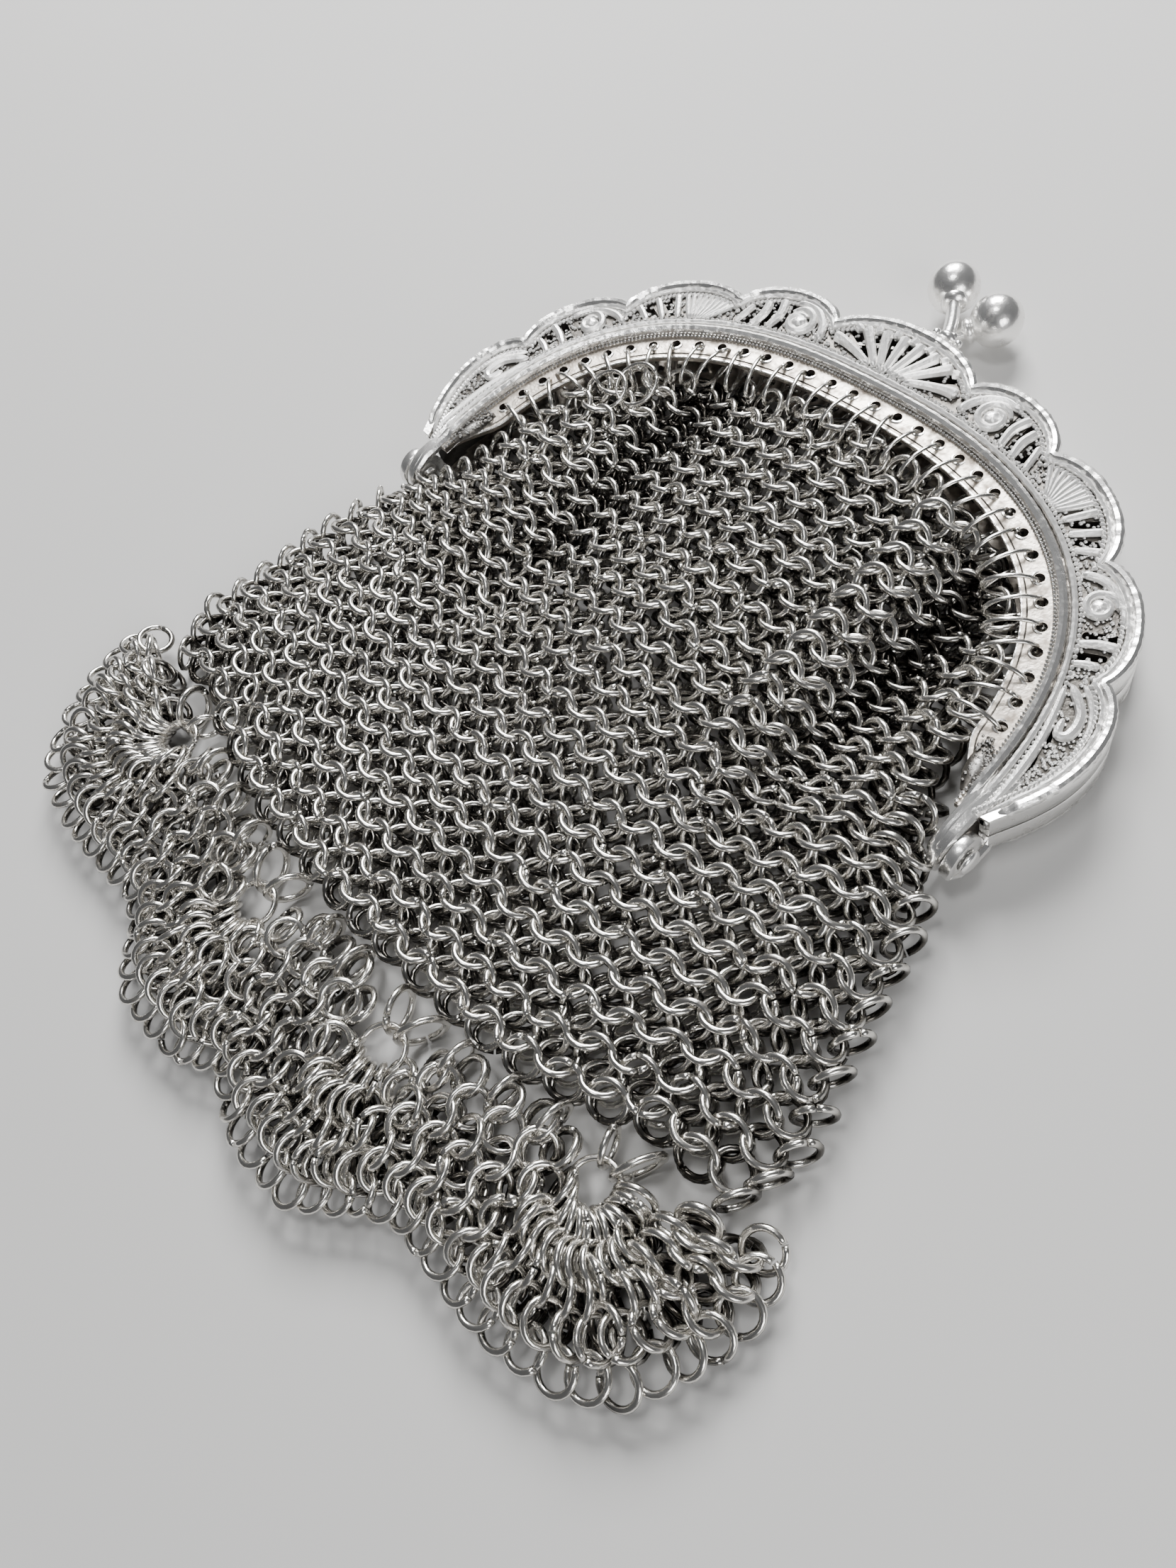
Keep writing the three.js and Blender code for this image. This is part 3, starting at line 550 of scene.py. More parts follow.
def bar(name, side, points, start, middle, end, height=2.05, steps=14, flat=1.0):
    """A bar of relief that swells from its start to its middle and runs out at its end."""
    path = lobe_path(name, side, points, height, steps)
    radii = []
    for i in range(len(path)):
        share = i / (len(path) - 1)
        base = mix(start, middle, share * 2) if share < 0.5 else mix(middle, end, share * 2 - 1)
        ends = min(1, 0.35 + 8 * share, 0.35 + 8 * (1 - share))
        radii.append(1.2 * base * ends)
    return (drawn(path, radii, 8, flat), CAST, None)


def grains(name, side, across_span, up_span, count, radius, seed):
    """Small grains scattered over a field of a lobe."""
    spread = random.Random(seed)
    field = []
    for _ in range(count):
        across = spread.uniform(*across_span)
        up = spread.uniform(*up_span)
        place = on_lobe(name, across, up, side, PLATE_TOP + radius * 0.3)
        size = radius * spread.uniform(0.75, 1.25)
        field.append((bead, CAST, Matrix.Translation(place) @ Matrix.Scale(size, 4)))
    return field


def coil(name, side, across, up, size, turns, thick, clockwise):
    """A scroll: a bar wound in from outside round an eye."""
    middle = on_lobe(name, across, up, side, 2.08)
    path, radii = [], []
    steps = int(22 * turns)
    for i in range(steps + 1):
        share = i / steps
        angle = clockwise * side * share * turns * 2 * math.pi + (0.5 if side > 0 else math.pi - 0.5)
        reach = mix(size, size * 0.5, share)
        path.append(middle + Vector((math.cos(angle), math.sin(angle), 0)) * reach)
        radii.append(thick * mix(1, 0.75, share) * min(1, 0.4 + 6 * share))
    return (drawn(path, radii, 8, 1.15), CAST, None)


def eye(name, side, across, up, radius):
    """The rough round boss in the middle of a scroll."""
    middle = on_lobe(name, across, up, side, 2.02)
    bm = bmesh.new()
    bmesh.ops.create_uvsphere(bm, u_segments=20, v_segments=10, radius=radius)
    for vert in bm.verts:
        rough = noise.noise(vert.co * 4.3 + Vector((across * 9, up * 7, side)))
        vert.co *= 1 + 0.22 * rough
        vert.co.z *= 0.65
    bmesh.ops.translate(bm, verts=bm.verts[:], vec=middle)
    return (finished(bm, "eye"), CAST, None)


FAN_RIBS = (-0.9, -0.62, -0.375, -0.125, 0.125, 0.375, 0.62, 0.9)
HUB_GRAINS = 5


def fan():
    """Ribs that spread from a hub of grains to the rim, each gap closed by a short arch."""
    made = []
    for end in FAN_RIBS:
        up = 0.98 if abs(end) < 0.8 else 0.62
        made.append(bar("fan", 1, [(end * 0.3, 0.06), (end * 0.72, up * 0.55), (end * 1.02, up)],
                        0.24, 0.34, 0.46, 2.12))
    for gap in FAN_GAPS:
        made.append(bar("fan", 1, [(gap * 0.9, 0.86), (gap * 1.02, 1.04)], 0.3, 0.34, 0.3, 2.15, 6))
    hub = on_lobe("fan", 0, 0.04, 1, 2.05)
    for k in range(HUB_GRAINS):
        angle = math.pi * (0.1 + 0.2 * k)
        place = hub + Vector((math.cos(angle) * 0.75, math.sin(angle) * 0.5, 0))
        made.append((bead, CAST, Matrix.Translation(place) @ Matrix.Scale(0.36, 4)))
    return made


def scroll(side):
    """A large scroll, two uprights beside it and a band over its back."""
    return [
        coil("scroll", side, 0.3, 0.46, 1.42, 1.25, 0.4, 1),
        eye("scroll", side, 0.3, 0.46, 0.78),
        bar("scroll", side, [(-0.27, 0.0), (-0.14, 0.5), (-0.2, 0.98)], 0.24, 0.34, 0.36, 2.12),
        bar("scroll", side, [(-0.6, 0.0), (-0.46, 0.45), (-0.46, 0.9)], 0.24, 0.34, 0.34, 2.12),
        bar("scroll", side, [(0.05, 0.98), (0.45, 1.0), (0.78, 0.72), (0.88, 0.2)],
            0.3, 0.34, 0.3, 2.1),
        bar("scroll", side, [(-0.95, 0.1), (-0.84, 0.5), (-0.72, 0.84)], 0.2, 0.26, 0.26, 2.08),
        *grains("scroll", side, (0.62, 0.92), (0.1, 0.6), 20, 0.14, 3),
    ]


SHELL_RIBS = 9


def shell(side):
    """Fine ribs that spread like a shell, and three plain uprights."""
    made = []
    for k in range(SHELL_RIBS):
        end = mix(0.02, 0.9, k / (SHELL_RIBS - 1))
        rib = [(mix(0.2, end, 0.35), 0.05), (mix(0.2, end, 0.75), 0.5), (end, 0.97)]
        made.append(bar("shell", side, rib, 0.16, 0.2, 0.24, 2.0, 10, 1.2))
    for foot, head in ((-0.08, -0.14), (-0.36, -0.48), (-0.66, -0.8)):
        made.append(bar("shell", side, [(foot, 0.08), ((foot + head) / 2, 0.5), (head, 0.94)],
                        0.2, 0.26, 0.28, 2.08))
    made += grains("shell", side, (-0.95, -0.7), (0.05, 0.5), 16, 0.15, 5)
    return made


def curl(side):
    """A small scroll, two uprights and a grained band."""
    return [
        coil("curl", side, 0.28, 0.46, 1.2, 1.2, 0.36, 1),
        eye("curl", side, 0.28, 0.46, 0.66),
        bar("curl", side, [(-0.38, 0.02), (-0.36, 0.5), (-0.4, 0.96)], 0.22, 0.3, 0.32, 2.1),
        bar("curl", side, [(-0.74, 0.02), (-0.72, 0.4), (-0.74, 0.8)], 0.2, 0.26, 0.26, 2.08),
        bar("curl", side, [(-0.05, 0.98), (0.4, 1.0), (0.75, 0.75), (0.9, 0.2)],
            0.26, 0.3, 0.26, 2.08),
        *grains("curl", side, (-0.1, 0.9), (0.86, 1.02), 26, 0.13, 7),
    ]


def leaf(side):
    """The long lobe over the hinge: a tendril between two stalks, on a grained ground."""
    return [
        bar("leaf", side, [(0.92, 0.25), (0.62, 0.62), (0.34, 0.6), (0.3, 0.36), (0.5, 0.3)],
            0.3, 0.34, 0.2, 2.08, 22),
        bar("leaf", side, [(0.9, 0.04), (0.3, 0.1), (-0.5, 0.3), (-0.95, 0.9)],
            0.22, 0.3, 0.14, 2.04, 20),
        bar("leaf", side, [(0.96, 0.7), (0.6, 0.9), (0.1, 0.96), (-0.5, 0.9)],
            0.2, 0.2, 0.12, 2.04, 20),
        *grains("leaf", side, (-0.3, 0.3), (0.42, 0.94), 90, 0.14, 11),
        *grains("leaf", side, (-0.7, -0.25), (0.3, 0.9), 40, 0.12, 13),
        *grains("leaf", side, (0.3, 0.95), (0.66, 0.96), 60, 0.12, 17),
    ]


def granulation():
    """The sand left its grain over the faces of all the lobes."""
    field = []
    for k, name in enumerate(LOBES):
        for side in ((1,) if name == "fan" else (1, -1)):
            field += grains(name, side, (-0.97, 0.97), (0.02, 1.0), 130, 0.17, 100 + 2 * k + side)
    return field


LIP_TURN = 3.4
LIP_REACH = 0.56
LIP_STEPS = 10


def hole_lip(t):
    """The worn lip round a sewing hole, on the side towards the mesh."""
    middle = on_jaw(t, SEWING_HOLE_INSET - flange_width(t), FLANGE_TOP)
    start = math.atan2(-outward(t).y, -outward(t).x) - LIP_TURN / 2
    path, radii = [], []
    for i in range(LIP_STEPS + 1):
        angle = start + LIP_TURN * i / LIP_STEPS
        path.append(middle + Vector((math.cos(angle), math.sin(angle), 0)) * LIP_REACH)
        radii.append(0.13 * min(1, 0.3 + 0.35 * i, 0.3 + 0.35 * (LIP_STEPS - i)))
    return (drawn(path, radii, 6), RIM, None)


LEAF_SPAN = (0.012, 0.062)
LEAF_GRAINS = 70


def end_leaf(end):
    """The small chased leaf at one end of the flange, with the sand's grain on its face."""
    start, reach = (mix(share, 1 - share, end) for share in LEAF_SPAN)
    path = [on_jaw(mix(start, reach, i / 8), -0.95 - 0.9 * i / 8, 1.62) for i in range(9)]
    radii = [0.3 + 0.55 * math.sin(math.pi * min(i / 7, 1)) for i in range(9)]
    made = [(drawn(path, radii, 8, 0.45), CAST, None)]
    sand = random.Random(41 + end)
    for _ in range(LEAF_GRAINS):
        along = sand.uniform(0.1, 0.95)
        out = -0.95 - 0.9 * along + sand.uniform(-0.6, 0.6)
        spot = on_jaw(mix(start, reach, along), out, 1.88)
        grain = Matrix.Translation(spot) @ Matrix.Scale(sand.uniform(0.1, 0.17), 4)
        made.append((bead, CAST, grain))
    return made


# Ears of the hinge
# The jaws' legs end in flat ears, the front jaw's inside the back jaw's, with a rivet through
# both. They are cast on, rounded with a file and drilled.
EAR_RADIUS = 1.9
EAR_THICKNESS = 0.9
EAR_INNER = 29.0
EAR_GAP = 0.3
EAR_EDGE = 0.14
BORE_RADIUS = 0.85
MEETING_GAP = 0.3


def filed_disc(low):
    """The flat of an ear, bored for the rivet, with its edges rounded."""
    bm = bmesh.new()
    bmesh.ops.create_circle(bm, segments=28, radius=BORE_RADIUS)
    bore = bm.edges[:]
    bmesh.ops.create_circle(bm, segments=28, radius=EAR_RADIUS)
    rim = [edge for edge in bm.edges if edge not in bore]
    bmesh.ops.bridge_loops(bm, edges=bore + rim)
    raised = bmesh.ops.extrude_face_region(bm, geom=bm.faces[:], use_keep_orig=True)
    top = [item for item in raised["geom"] if isinstance(item, bmesh.types.BMVert)]
    bmesh.ops.translate(bm, verts=top, vec=(0, 0, EAR_THICKNESS))
    bmesh.ops.recalc_face_normals(bm, faces=bm.faces[:])
    round_edges = [edge for edge in bm.edges if edge.calc_face_angle(0) > 1]
    bmesh.ops.bevel(bm, geom=round_edges, affect="EDGES", offset=EAR_EDGE, segments=2,
                    profile=0.5, material=-1)
    bmesh.ops.rotate(bm, verts=bm.verts[:], matrix=Matrix.Rotation(math.pi / 2, 3, "Y"))
    bmesh.ops.translate(bm, verts=bm.verts[:], vec=(low, 0, -MEETING_GAP / 2))
    return finished(bm, "ear")


# Ribs on a leg: how far out of the rail they start, out of the ear's middle they end, how thick.
LEG_RIBS = [(-0.2, -0.28, 0.5), (0.7, 0.1, 0.55), (1.6, 0.32, 0.5)]
# Along the ear a rib runs through these levels and heights, this much thinner at its ends.
RIB_OVER_EAR = [(2.2, 1.7), (0.6, 1.72), (-0.7, 1.25), (-1.5, 0.3)]
RIB_TAPER = (0.3, 0.8, 1, 0.95, 0.8, 0.4)


def ear(side, inner):
    """An ear, and the three ribs in which the leg runs out over it."""
    low = inner if side > 0 else -inner - EAR_THICKNESS
    made = [(filed_disc(low), RIM, None)]
    middle = low + EAR_THICKNESS / 2
    for leg, foot, thick in LEG_RIBS:
        path = [Vector((side * (RAIL_HALF_WIDTH + leg), 7.5, 1.7)),
                Vector((side * (RAIL_HALF_WIDTH + leg * 0.9), 4.6, 1.85))]
        path += [Vector((middle + side * foot, y, height)) for y, height in RIB_OVER_EAR]
        made.append((drawn(path, [thick * share for share in RIB_TAPER], 9), RIM, None))
    return made


arch_pieces = [(pierced_plate(), None, None), *rim_and_rail(), *fan(), *granulation()]
arch_pieces += [hole_lip(t) for t in hole_places] + end_leaf(0) + end_leaf(1)
for hand in (1, -1):
    arch_pieces += scroll(hand) + shell(hand) + curl(hand) + leaf(hand)
jaw_casting = gathered(arch_pieces, "jaw_casting", SILVERS)


def node_box(node):
    """The two corners of a node's box in millimetres."""
    return [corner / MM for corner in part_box(node)]


pin_low, pin_high = node_box("hinge_pin_right")
RIVET_LINE = (pin_low.y + pin_high.y) / 2
MEETING_Z = (pin_low.z + pin_high.z) / 2
PURSE_PLACE = Matrix.Scale(MM, 4) @ Matrix.Translation((0, RIVET_LINE, MEETING_Z))
HALF_GAP = Matrix.Translation((0, 0, MEETING_GAP / 2))
FRONT_PLACE = PURSE_PLACE @ HALF_GAP
BACK_PLACE = PURSE_PLACE @ Matrix.Rotation(math.pi, 4, "Y") @ HALF_GAP
JAW_ANGLE = math.radians(38)


def shown(name, mesh, slot_name, *nodes):
    """A piece of the purse in the scene, in place of its solids."""
    piece = bpy.data.objects.new(name, mesh)
    bpy.context.collection.objects.link(piece)
    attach(piece, "root")
    if nodes:
        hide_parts(*nodes)
    return piece


for name, place, inner in (("front", FRONT_PLACE, EAR_INNER),
                           ("back", BACK_PLACE, EAR_INNER + EAR_THICKNESS + EAR_GAP)):
    ears = ear(1, inner) + ear(-1, inner)
    jaw = gathered([(jaw_casting, None, None), *ears], f"{name}_jaw", SILVERS)
    jaw.transform(place)
    jaw.shade_smooth()
    jaw.set_sharp_from_angle(angle=JAW_ANGLE)
    shown(f"{name}_jaw", jaw, "cast_silver", f"jaw_{name}")


# Rivets
# A silver rivet goes through the two ears of each side, and the jaws open on it. It is cut from
# wire, and its ends are hammered to low heads.
RIVET_RADIUS = 0.55
HEAD_RADIUS = 1.0
HEAD_HEIGHT = 0.4


def rivet(node):
    """A shank between two low heads, as long as its node."""
    low, high = node_box(node)
    length = high.x - low.x
    bm = bmesh.new()
    bmesh.ops.create_cone(bm, cap_ends=True, segments=20, radius1=RIVET_RADIUS, radius2=RIVET_RADIUS,
                          depth=length - HEAD_HEIGHT)
    for end in (-1, 1):
        dome = bmesh.ops.create_uvsphere(bm, u_segments=20, v_segments=12, radius=HEAD_RADIUS)["verts"]
        bmesh.ops.scale(bm, verts=dome, vec=(1, 1, HEAD_HEIGHT / HEAD_RADIUS))
        bmesh.ops.translate(bm, verts=dome, vec=(0, 0, end * (length / 2 - HEAD_HEIGHT)))
    bmesh.ops.rotate(bm, verts=bm.verts[:], matrix=Matrix.Rotation(math.pi / 2, 3, "Y"))
    bmesh.ops.translate(bm, verts=bm.verts[:], vec=(low + high) / 2)
    bmesh.ops.scale(bm, verts=bm.verts[:], vec=(MM, MM, MM))
    return finished(bm, "rivet")


for side in ("right", "left"):
    mesh = rivet(f"hinge_pin_{side}")
    mesh.materials.append(rim_silver)
    shown(f"{side}_rivet", mesh, "cast_silver", f"hinge_pin_{side}")


# Kiss clasp
# A polished ball on a bent stem stands on the crown of each jaw. The stems cross, and the balls
# snap past each other. Ball, neck, stem, collar and the beads at its foot are soldered up.
KNOB_RADIUS = 2.25
KNOB_SPREAD = 2.6
KNOB_HEIGHTS = {"front": 6.9, "back": 5.9}
STEM_RADIUS = 0.6
STEM_FOOT_X = 1.6
CROWN_TOP = rail(0.5).y + LOBE_REACH
PEG_LEVEL = 1.525
STEM_STEPS = 16
NECK = [(0.5, -0.5), (0.95, -0.35), (1.15, 0), (0.95, 0.35), (0.5, 0.5)]
COLLAR = [(0, -0.55), (0.8, -0.5), (1, -0.15), (0.9, 0.15), (0.7, 0.3), (0, 0.35)]
# Beads at a stem's foot: the way they lie from it, how far out and how large.
FOOT_BEADS = [(-0.6, 1.25, 0.42), (0.3, 1.3, 0.36), (1.2, 1.2, 0.4), (2.6, 1.2, 0.42),
              (3.5, 1.25, 0.36)]


def turned(profile, middle, direction, segments=28):
    """A turned piece: a profile of (radius, height) points spun round its axis."""
    bm = bmesh.new()
    points = [bm.verts.new((radius, 0, height)) for radius, height in profile]
    edges = [bm.edges.new(pair) for pair in zip(points, points[1:])]
    bmesh.ops.spin(bm, geom=points + edges, axis=(0, 0, 1), angle=2 * math.pi, steps=segments,
                   use_merge=True)
    bmesh.ops.remove_doubles(bm, verts=bm.verts[:], dist=0.001)
    turn = direction.to_track_quat("Z", "Y").to_matrix()
    bmesh.ops.rotate(bm, verts=bm.verts[:], matrix=turn)
    bmesh.ops.translate(bm, verts=bm.verts[:], vec=middle)
    return finished(bm, "turned")


def ball_outline(steps=20):
    """Half a circle, from the bottom of the ball to its top."""
    outline = [(0, -KNOB_RADIUS)]
    for i in range(1, steps):
        angle = -math.pi / 2 + math.pi * i / steps
        outline.append((KNOB_RADIUS * math.cos(angle), KNOB_RADIUS * math.sin(angle)))
    return outline + [(0, KNOB_RADIUS)]


def bent_stem(foot, bend, ball):
    path = []
    for i in range(STEM_STEPS + 1):
        share = i / STEM_STEPS
        path.append(foot.lerp(bend, share).lerp(bend.lerp(ball, share), share))
    radii = [STEM_RADIUS * mix(1.05, 0.9, i / STEM_STEPS) for i in range(STEM_STEPS + 1)]
    return drawn(path, radii, 12)


def knob(height):
    """Ball, neck, stem, collar and beads of one half of the clasp."""
    foot = Vector((STEM_FOOT_X, CROWN_TOP - LOBE_REACH * 0.03, PEG_LEVEL))
    ball = Vector((-KNOB_SPREAD, CROWN_TOP + height, 0))
    bend = foot + Vector((0, 1.8, 0))
    lean = (ball - bend).normalized()
    parts = [
        bent_stem(foot, bend, ball),
        turned(ball_outline(), ball, lean, 36),
        turned(NECK, ball - lean * (KNOB_RADIUS + 0.1), lean),
        turned(COLLAR, foot + Vector((0, 0.85, 0)), Vector((0, 1, 0))),
    ]
    pieces = [(part, RIM, None) for part in parts]
    for angle, reach, size in FOOT_BEADS:
        spot = foot + Vector((math.cos(angle) * reach, 0.35 + math.sin(angle) * reach * 0.6, 0.35))
        pieces.append((bead_fine, RIM, Matrix.Translation(spot) @ Matrix.Scale(size, 4)))
    return pieces


bead_fine = bead_mesh(3)
for name, place in (("front", FRONT_PLACE), ("back", BACK_PLACE)):
    mesh = gathered(knob(KNOB_HEIGHTS[name]), f"{name}_knob", SILVERS)
    mesh.transform(place)
    mesh.shade_smooth()
    shown(f"{name}_knob", mesh, "cast_silver", f"clasp_knob_{name}")


# Ring mesh of the pouch
# The pouch is a flat tube of nickel silver rings, each bent from wire, butted and hooked through
# two rings of the row above and two of the row below. It hangs in pleats below the arch.
WIRE_RADIUS = 0.27
RING_RADIUS = 1.46
ROW_STEP = 1.25
OPEN_LEAN = 30
COLUMNS = 20
SHEET_INSET = 1.0
PLEAT_RISE = 1.5
PLEAT_DIP = 1.9
POUCH_HALF_WIDTH = node_box("mesh_pouch")[1].x
POUCH_THICKNESS = 5.6
POUCH_DROP = 34.0
POUCH_SIDE_DROP = 29.2
# The pouch's section at some levels: half width, top and underside, as shares of the whole.
POUCH_ROWS = [
    (27.0, 0.79, 0.8, 0.07),
    (15.3, 0.79, 0.84, 0.06),
    (5.1, 0.8, 0.9, 0.05),
    (-2.3, 0.83, 0.98, 0),
    (-8.2, 0.9, 1, 0),
    (-15.2, 0.95, 0.96, 0),
    (-22.2, 1, 0.9, 0),
    (-26.3, 0.98, 0.84, 0),
    (-29.2, 0.95, 0.78, 0),
    (-34.5, 0.9, 0.72, 0.02),
]
# Pleats below the arch: where they run, how wide they are and how high or deep.
PLEATS = [(-0.56, 0.1, 0.5), (-0.34, 0.13, -0.9), (-0.09, 0.12, 1), (0.16, 0.13, -1.2),
          (0.33, 0.08, 1), (0.5, 0.12, -1), (0.68, 0.09, 0.5)]


def wire_ring(radius, wire, steps, sides, opening=6):
    """A ring of round wire: a circle spun nearly all the way round, with a cut end on each side."""
    bm = bmesh.new()
    bmesh.ops.create_circle(bm, segments=sides, radius=wire)
    bmesh.ops.rotate(bm, verts=bm.verts[:], matrix=Matrix.Rotation(math.pi / 2, 3, "X"))
    bmesh.ops.translate(bm, verts=bm.verts[:], vec=(radius, 0, 0))
    bmesh.ops.spin(bm, geom=bm.verts[:] + bm.edges[:], axis=(0, 0, 1),
                   angle=math.radians(360 - opening), steps=steps)
    ends = [edge for edge in bm.edges if edge.is_boundary]
    bmesh.ops.holes_fill(bm, edges=ends, sides=0)
    return finished(bm, "wire_ring")


def pouch_row(y):
    """Half width, top and underside of the pouch at a level."""
    for (high, *above), (low, *below) in zip(POUCH_ROWS, POUCH_ROWS[1:]):
        if y >= low:
            share = min(max((high - y) / (high - low), 0), 1)
            width, top, under = (mix(a, b, share) for a, b in zip(above, below))
            return width * POUCH_HALF_WIDTH, top * POUCH_THICKNESS, under * POUCH_THICKNESS
    width, top, under = POUCH_ROWS[-1][1:]
    return width * POUCH_HALF_WIDTH, top * POUCH_THICKNESS, under * POUCH_THICKNESS


def pouch_edge(x):
    """The level of the pouch's lower edge, which sags between its corners."""
    share = min(abs(x) / (0.75 * POUCH_HALF_WIDTH), 1)
    return -mix(POUCH_SIDE_DROP, POUCH_DROP, 1 - share ** 2.5)


def pleat(x, y):
    """How far the pleats lift the front of the mesh. They run out below the hinges."""
    fade = smooth(y, -19, 3)
    rise = sum(high * math.exp(-((x / POUCH_HALF_WIDTH - at) / wide) ** 2)
               for at, wide, high in PLEATS)
    return (PLEAT_RISE if rise > 0 else PLEAT_DIP) * fade * rise


def sagged(level, x):
    """How high a row lies at x: above the hinge it is level, and lower down its middle sags."""
    return level + smooth(-level, -8, 12) * (pouch_edge(x) + POUCH_DROP)


def round_the_pouch(level, steps=160):
    """The line of one row, from the right side over the front to the left and back underneath."""
    half = pouch_row(sagged(level, POUCH_HALF_WIDTH))[0]
    top, under = pouch_row(level)[1:]
    middle = (top + under) / 2
    points = []
    for i in range(steps):
        turn = 2 * math.pi * i / steps
        x = (half - SHEET_INSET) * math.copysign(abs(math.cos(turn)) ** (1 / 3), math.cos(turn))
        y = sagged(level, x)
        if math.sin(turn) > 0:
            rise = top - SHEET_INSET - middle + pleat(x, y)
        else:
            rise = middle - under - SHEET_INSET
        points.append(Vector((x, y, middle + rise * math.sin(turn))))
    return points


def spaced(points, shares):
    """Places and directions at shares of a closed line's length."""
    loop = points + points[:1]
    lengths = [0.0]
    for a, b in zip(loop, loop[1:]):
        lengths.append(lengths[-1] + (b - a).length)
    made, k = [], 0
    for share in shares:
        want = (share % 1) * lengths[-1]
        if want < lengths[k]:
            k = 0
        while lengths[k + 1] < want:
            k += 1
        past = (want - lengths[k]) / (lengths[k + 1] - lengths[k])
        made.append((loop[k].lerp(loop[k + 1], past), (loop[k + 1] - loop[k]).normalized()))
    return made


def in_arch(x, y, margin):
    """Whether a spot lies inside the jaws' flanges by a margin."""
    side = RAIL_HALF_WIDTH - FLANGE_WIDTH - margin
    rise = ARCH_RISE - FLANGE_WIDTH - margin
    if y < ARCH_SHOULDER:
        return abs(x) < mix(29, side, smooth(y, -3, 4.5)) if y > -3.2 else True
    high = (y - ARCH_SHOULDER) / rise
    if high > 1:
        return False
    return (abs(x) / side) ** ARCH_SQUARENESS + high ** ARCH_SQUARENESS < 1


HOOKED = 0.4


def lean_for(step):
    """Degrees that a ring leans out of the sheet where its rows lie a step apart."""
    tight = math.cos(math.radians(OPEN_LEAN)) * (step + HOOKED) / (ROW_STEP + HOOKED)
    return math.degrees(math.acos(min(max(tight, 0.2), 0.9)))


def hung(place, along, down, lean, spread, jitter=1.0, sway=0.0):
    """The placing of a ring: it leans about its row out of the sheet, and its joint is anywhere."""
    outside = along.cross(down).normalized()
    stand = Matrix((along, outside.cross(along), outside)).transposed().to_4x4()
    lean_turn = Matrix.Rotation(math.radians(lean + spread.gauss(0, 4) * jitter), 4, "X")
    sway_turn = Matrix.Rotation(math.radians(sway + spread.gauss(0, 4) * jitter), 4, "Y")
    seam = Matrix.Rotation(spread.uniform(0, 2 * math.pi), 4, "Z")
    return Matrix.Translation(place) @ stand @ sway_turn @ lean_turn @ seam


noise.seed_set(41)


def shifted(place):
    """A place in the loose mesh, which has shifted a little, the same for neighbouring rings."""
    push = noise.noise_vector(place * 0.16)
    return place + Vector((0.4 * push.x, 0.35 * push.y, 0.3 * push.z))


FIRST_ROW = 25.4
LAST_ROW_RISE = 1.2
CROWDED_SWAY = 13
spread = random.Random(41)
front_rings, back_rings = [], []
row = 0
level = FIRST_ROW
while level > LAST_ROW_RISE - POUCH_DROP:
    points = round_the_pouch(level)
    shares = [(k + 0.5 * (row % 2)) / (2 * COLUMNS) for k in range(2 * COLUMNS)]
    around = sum((b - a).length for a, b in zip(points, points[1:] + points[:1]))
    crowded = min(max((2 * (RING_RADIUS + WIRE_RADIUS) - around / (2 * COLUMNS)) / 0.5, 0), 1)
    for share, (place, along) in zip(shares, spaced(points, shares)):
        if not in_arch(place.x, place.y, 1.0):
            continue
        step = sagged(level, place.x) - sagged(level - ROW_STEP, place.x)
        lean = lean_for(step) * (1 if row % 2 else -1)
        sway = CROWDED_SWAY * crowded
        matrix = hung(shifted(place), along, Vector((0, -1, 0)), lean, spread, 1, sway)
        (front_rings if share < 0.5 else back_rings).append((place.y, matrix))
    row += 1
    level -= ROW_STEP

WIRE_LOOK = {"colour": (0.74, 0.72, 0.68), "tarnish": (0.36, 0.33, 0.29), "roughness": 0.22,
             "grain": 0.05, "grain_size": 3000, "tarnish_share": 0.58}
ring_wire = metal("nickel_silver_wire", **WIRE_LOOK)
# This wire takes painted shade from a mark on its points: darker inside the bag and under each ring.
mesh_wire = metal("mesh_wire_with_painted_shade", **WIRE_LOOK, painted_shade_map="painted_shade_map")


def lying(matrix):
    """A ring that would dip into the table lies on it instead."""
    tilt = math.sqrt(max(1 - matrix.col[2].z ** 2, 0))
    low = matrix.translation.z - RING_RADIUS * tilt - WIRE_RADIUS
    return Matrix.Translation((0, 0, max(-low, 0))) @ matrix


SHADE_BAND_SOFT = 0.6


def wire_shade_share(height, above, low, high):
    """How much painted shade a spot of wire gets, between two heights of the bag and low down in its
    ring.
    """
    deep = smooth(height, low - SHADE_BAND_SOFT, low + SHADE_BAND_SOFT)
    deep -= smooth(height, high - SHADE_BAND_SOFT, high + SHADE_BAND_SOFT)
    return max(deep, 1 - smooth(above, -0.65, 0.1) if height > low else 0)


def strung(rings, one, name, inside=None):
    """Many rings as one mesh, in metres on the table.

    inside holds two heights between which the wire is darkened with painted shade, and above the
    lower one the lower half of every ring is too: painted shade inside the bag and under each ring."""
    rings = [lying(matrix) for matrix in rings]
    wire = mesh_wire if inside else ring_wire
    mesh = gathered([(one, None, matrix) for matrix in rings], name, [wire])
    if inside:
        count = len(one.vertices)
        dark = [wire_shade_share(vert.co.z, vert.co.z - rings[k // count].translation.z, *inside)
                for k, vert in enumerate(mesh.vertices)]
        mesh.attributes.new("painted_shade_map", "FLOAT", "POINT").data.foreach_set("value", dark)
    mesh.transform(Matrix.Scale(MM, 4) @ Matrix.Translation((0, RIVET_LINE, 0)))
    mesh.shade_smooth()
    return mesh


fine_ring = wire_ring(RING_RADIUS, WIRE_RADIUS, 21, 8)
plain_ring = wire_ring(RING_RADIUS, WIRE_RADIUS, 14, 5)
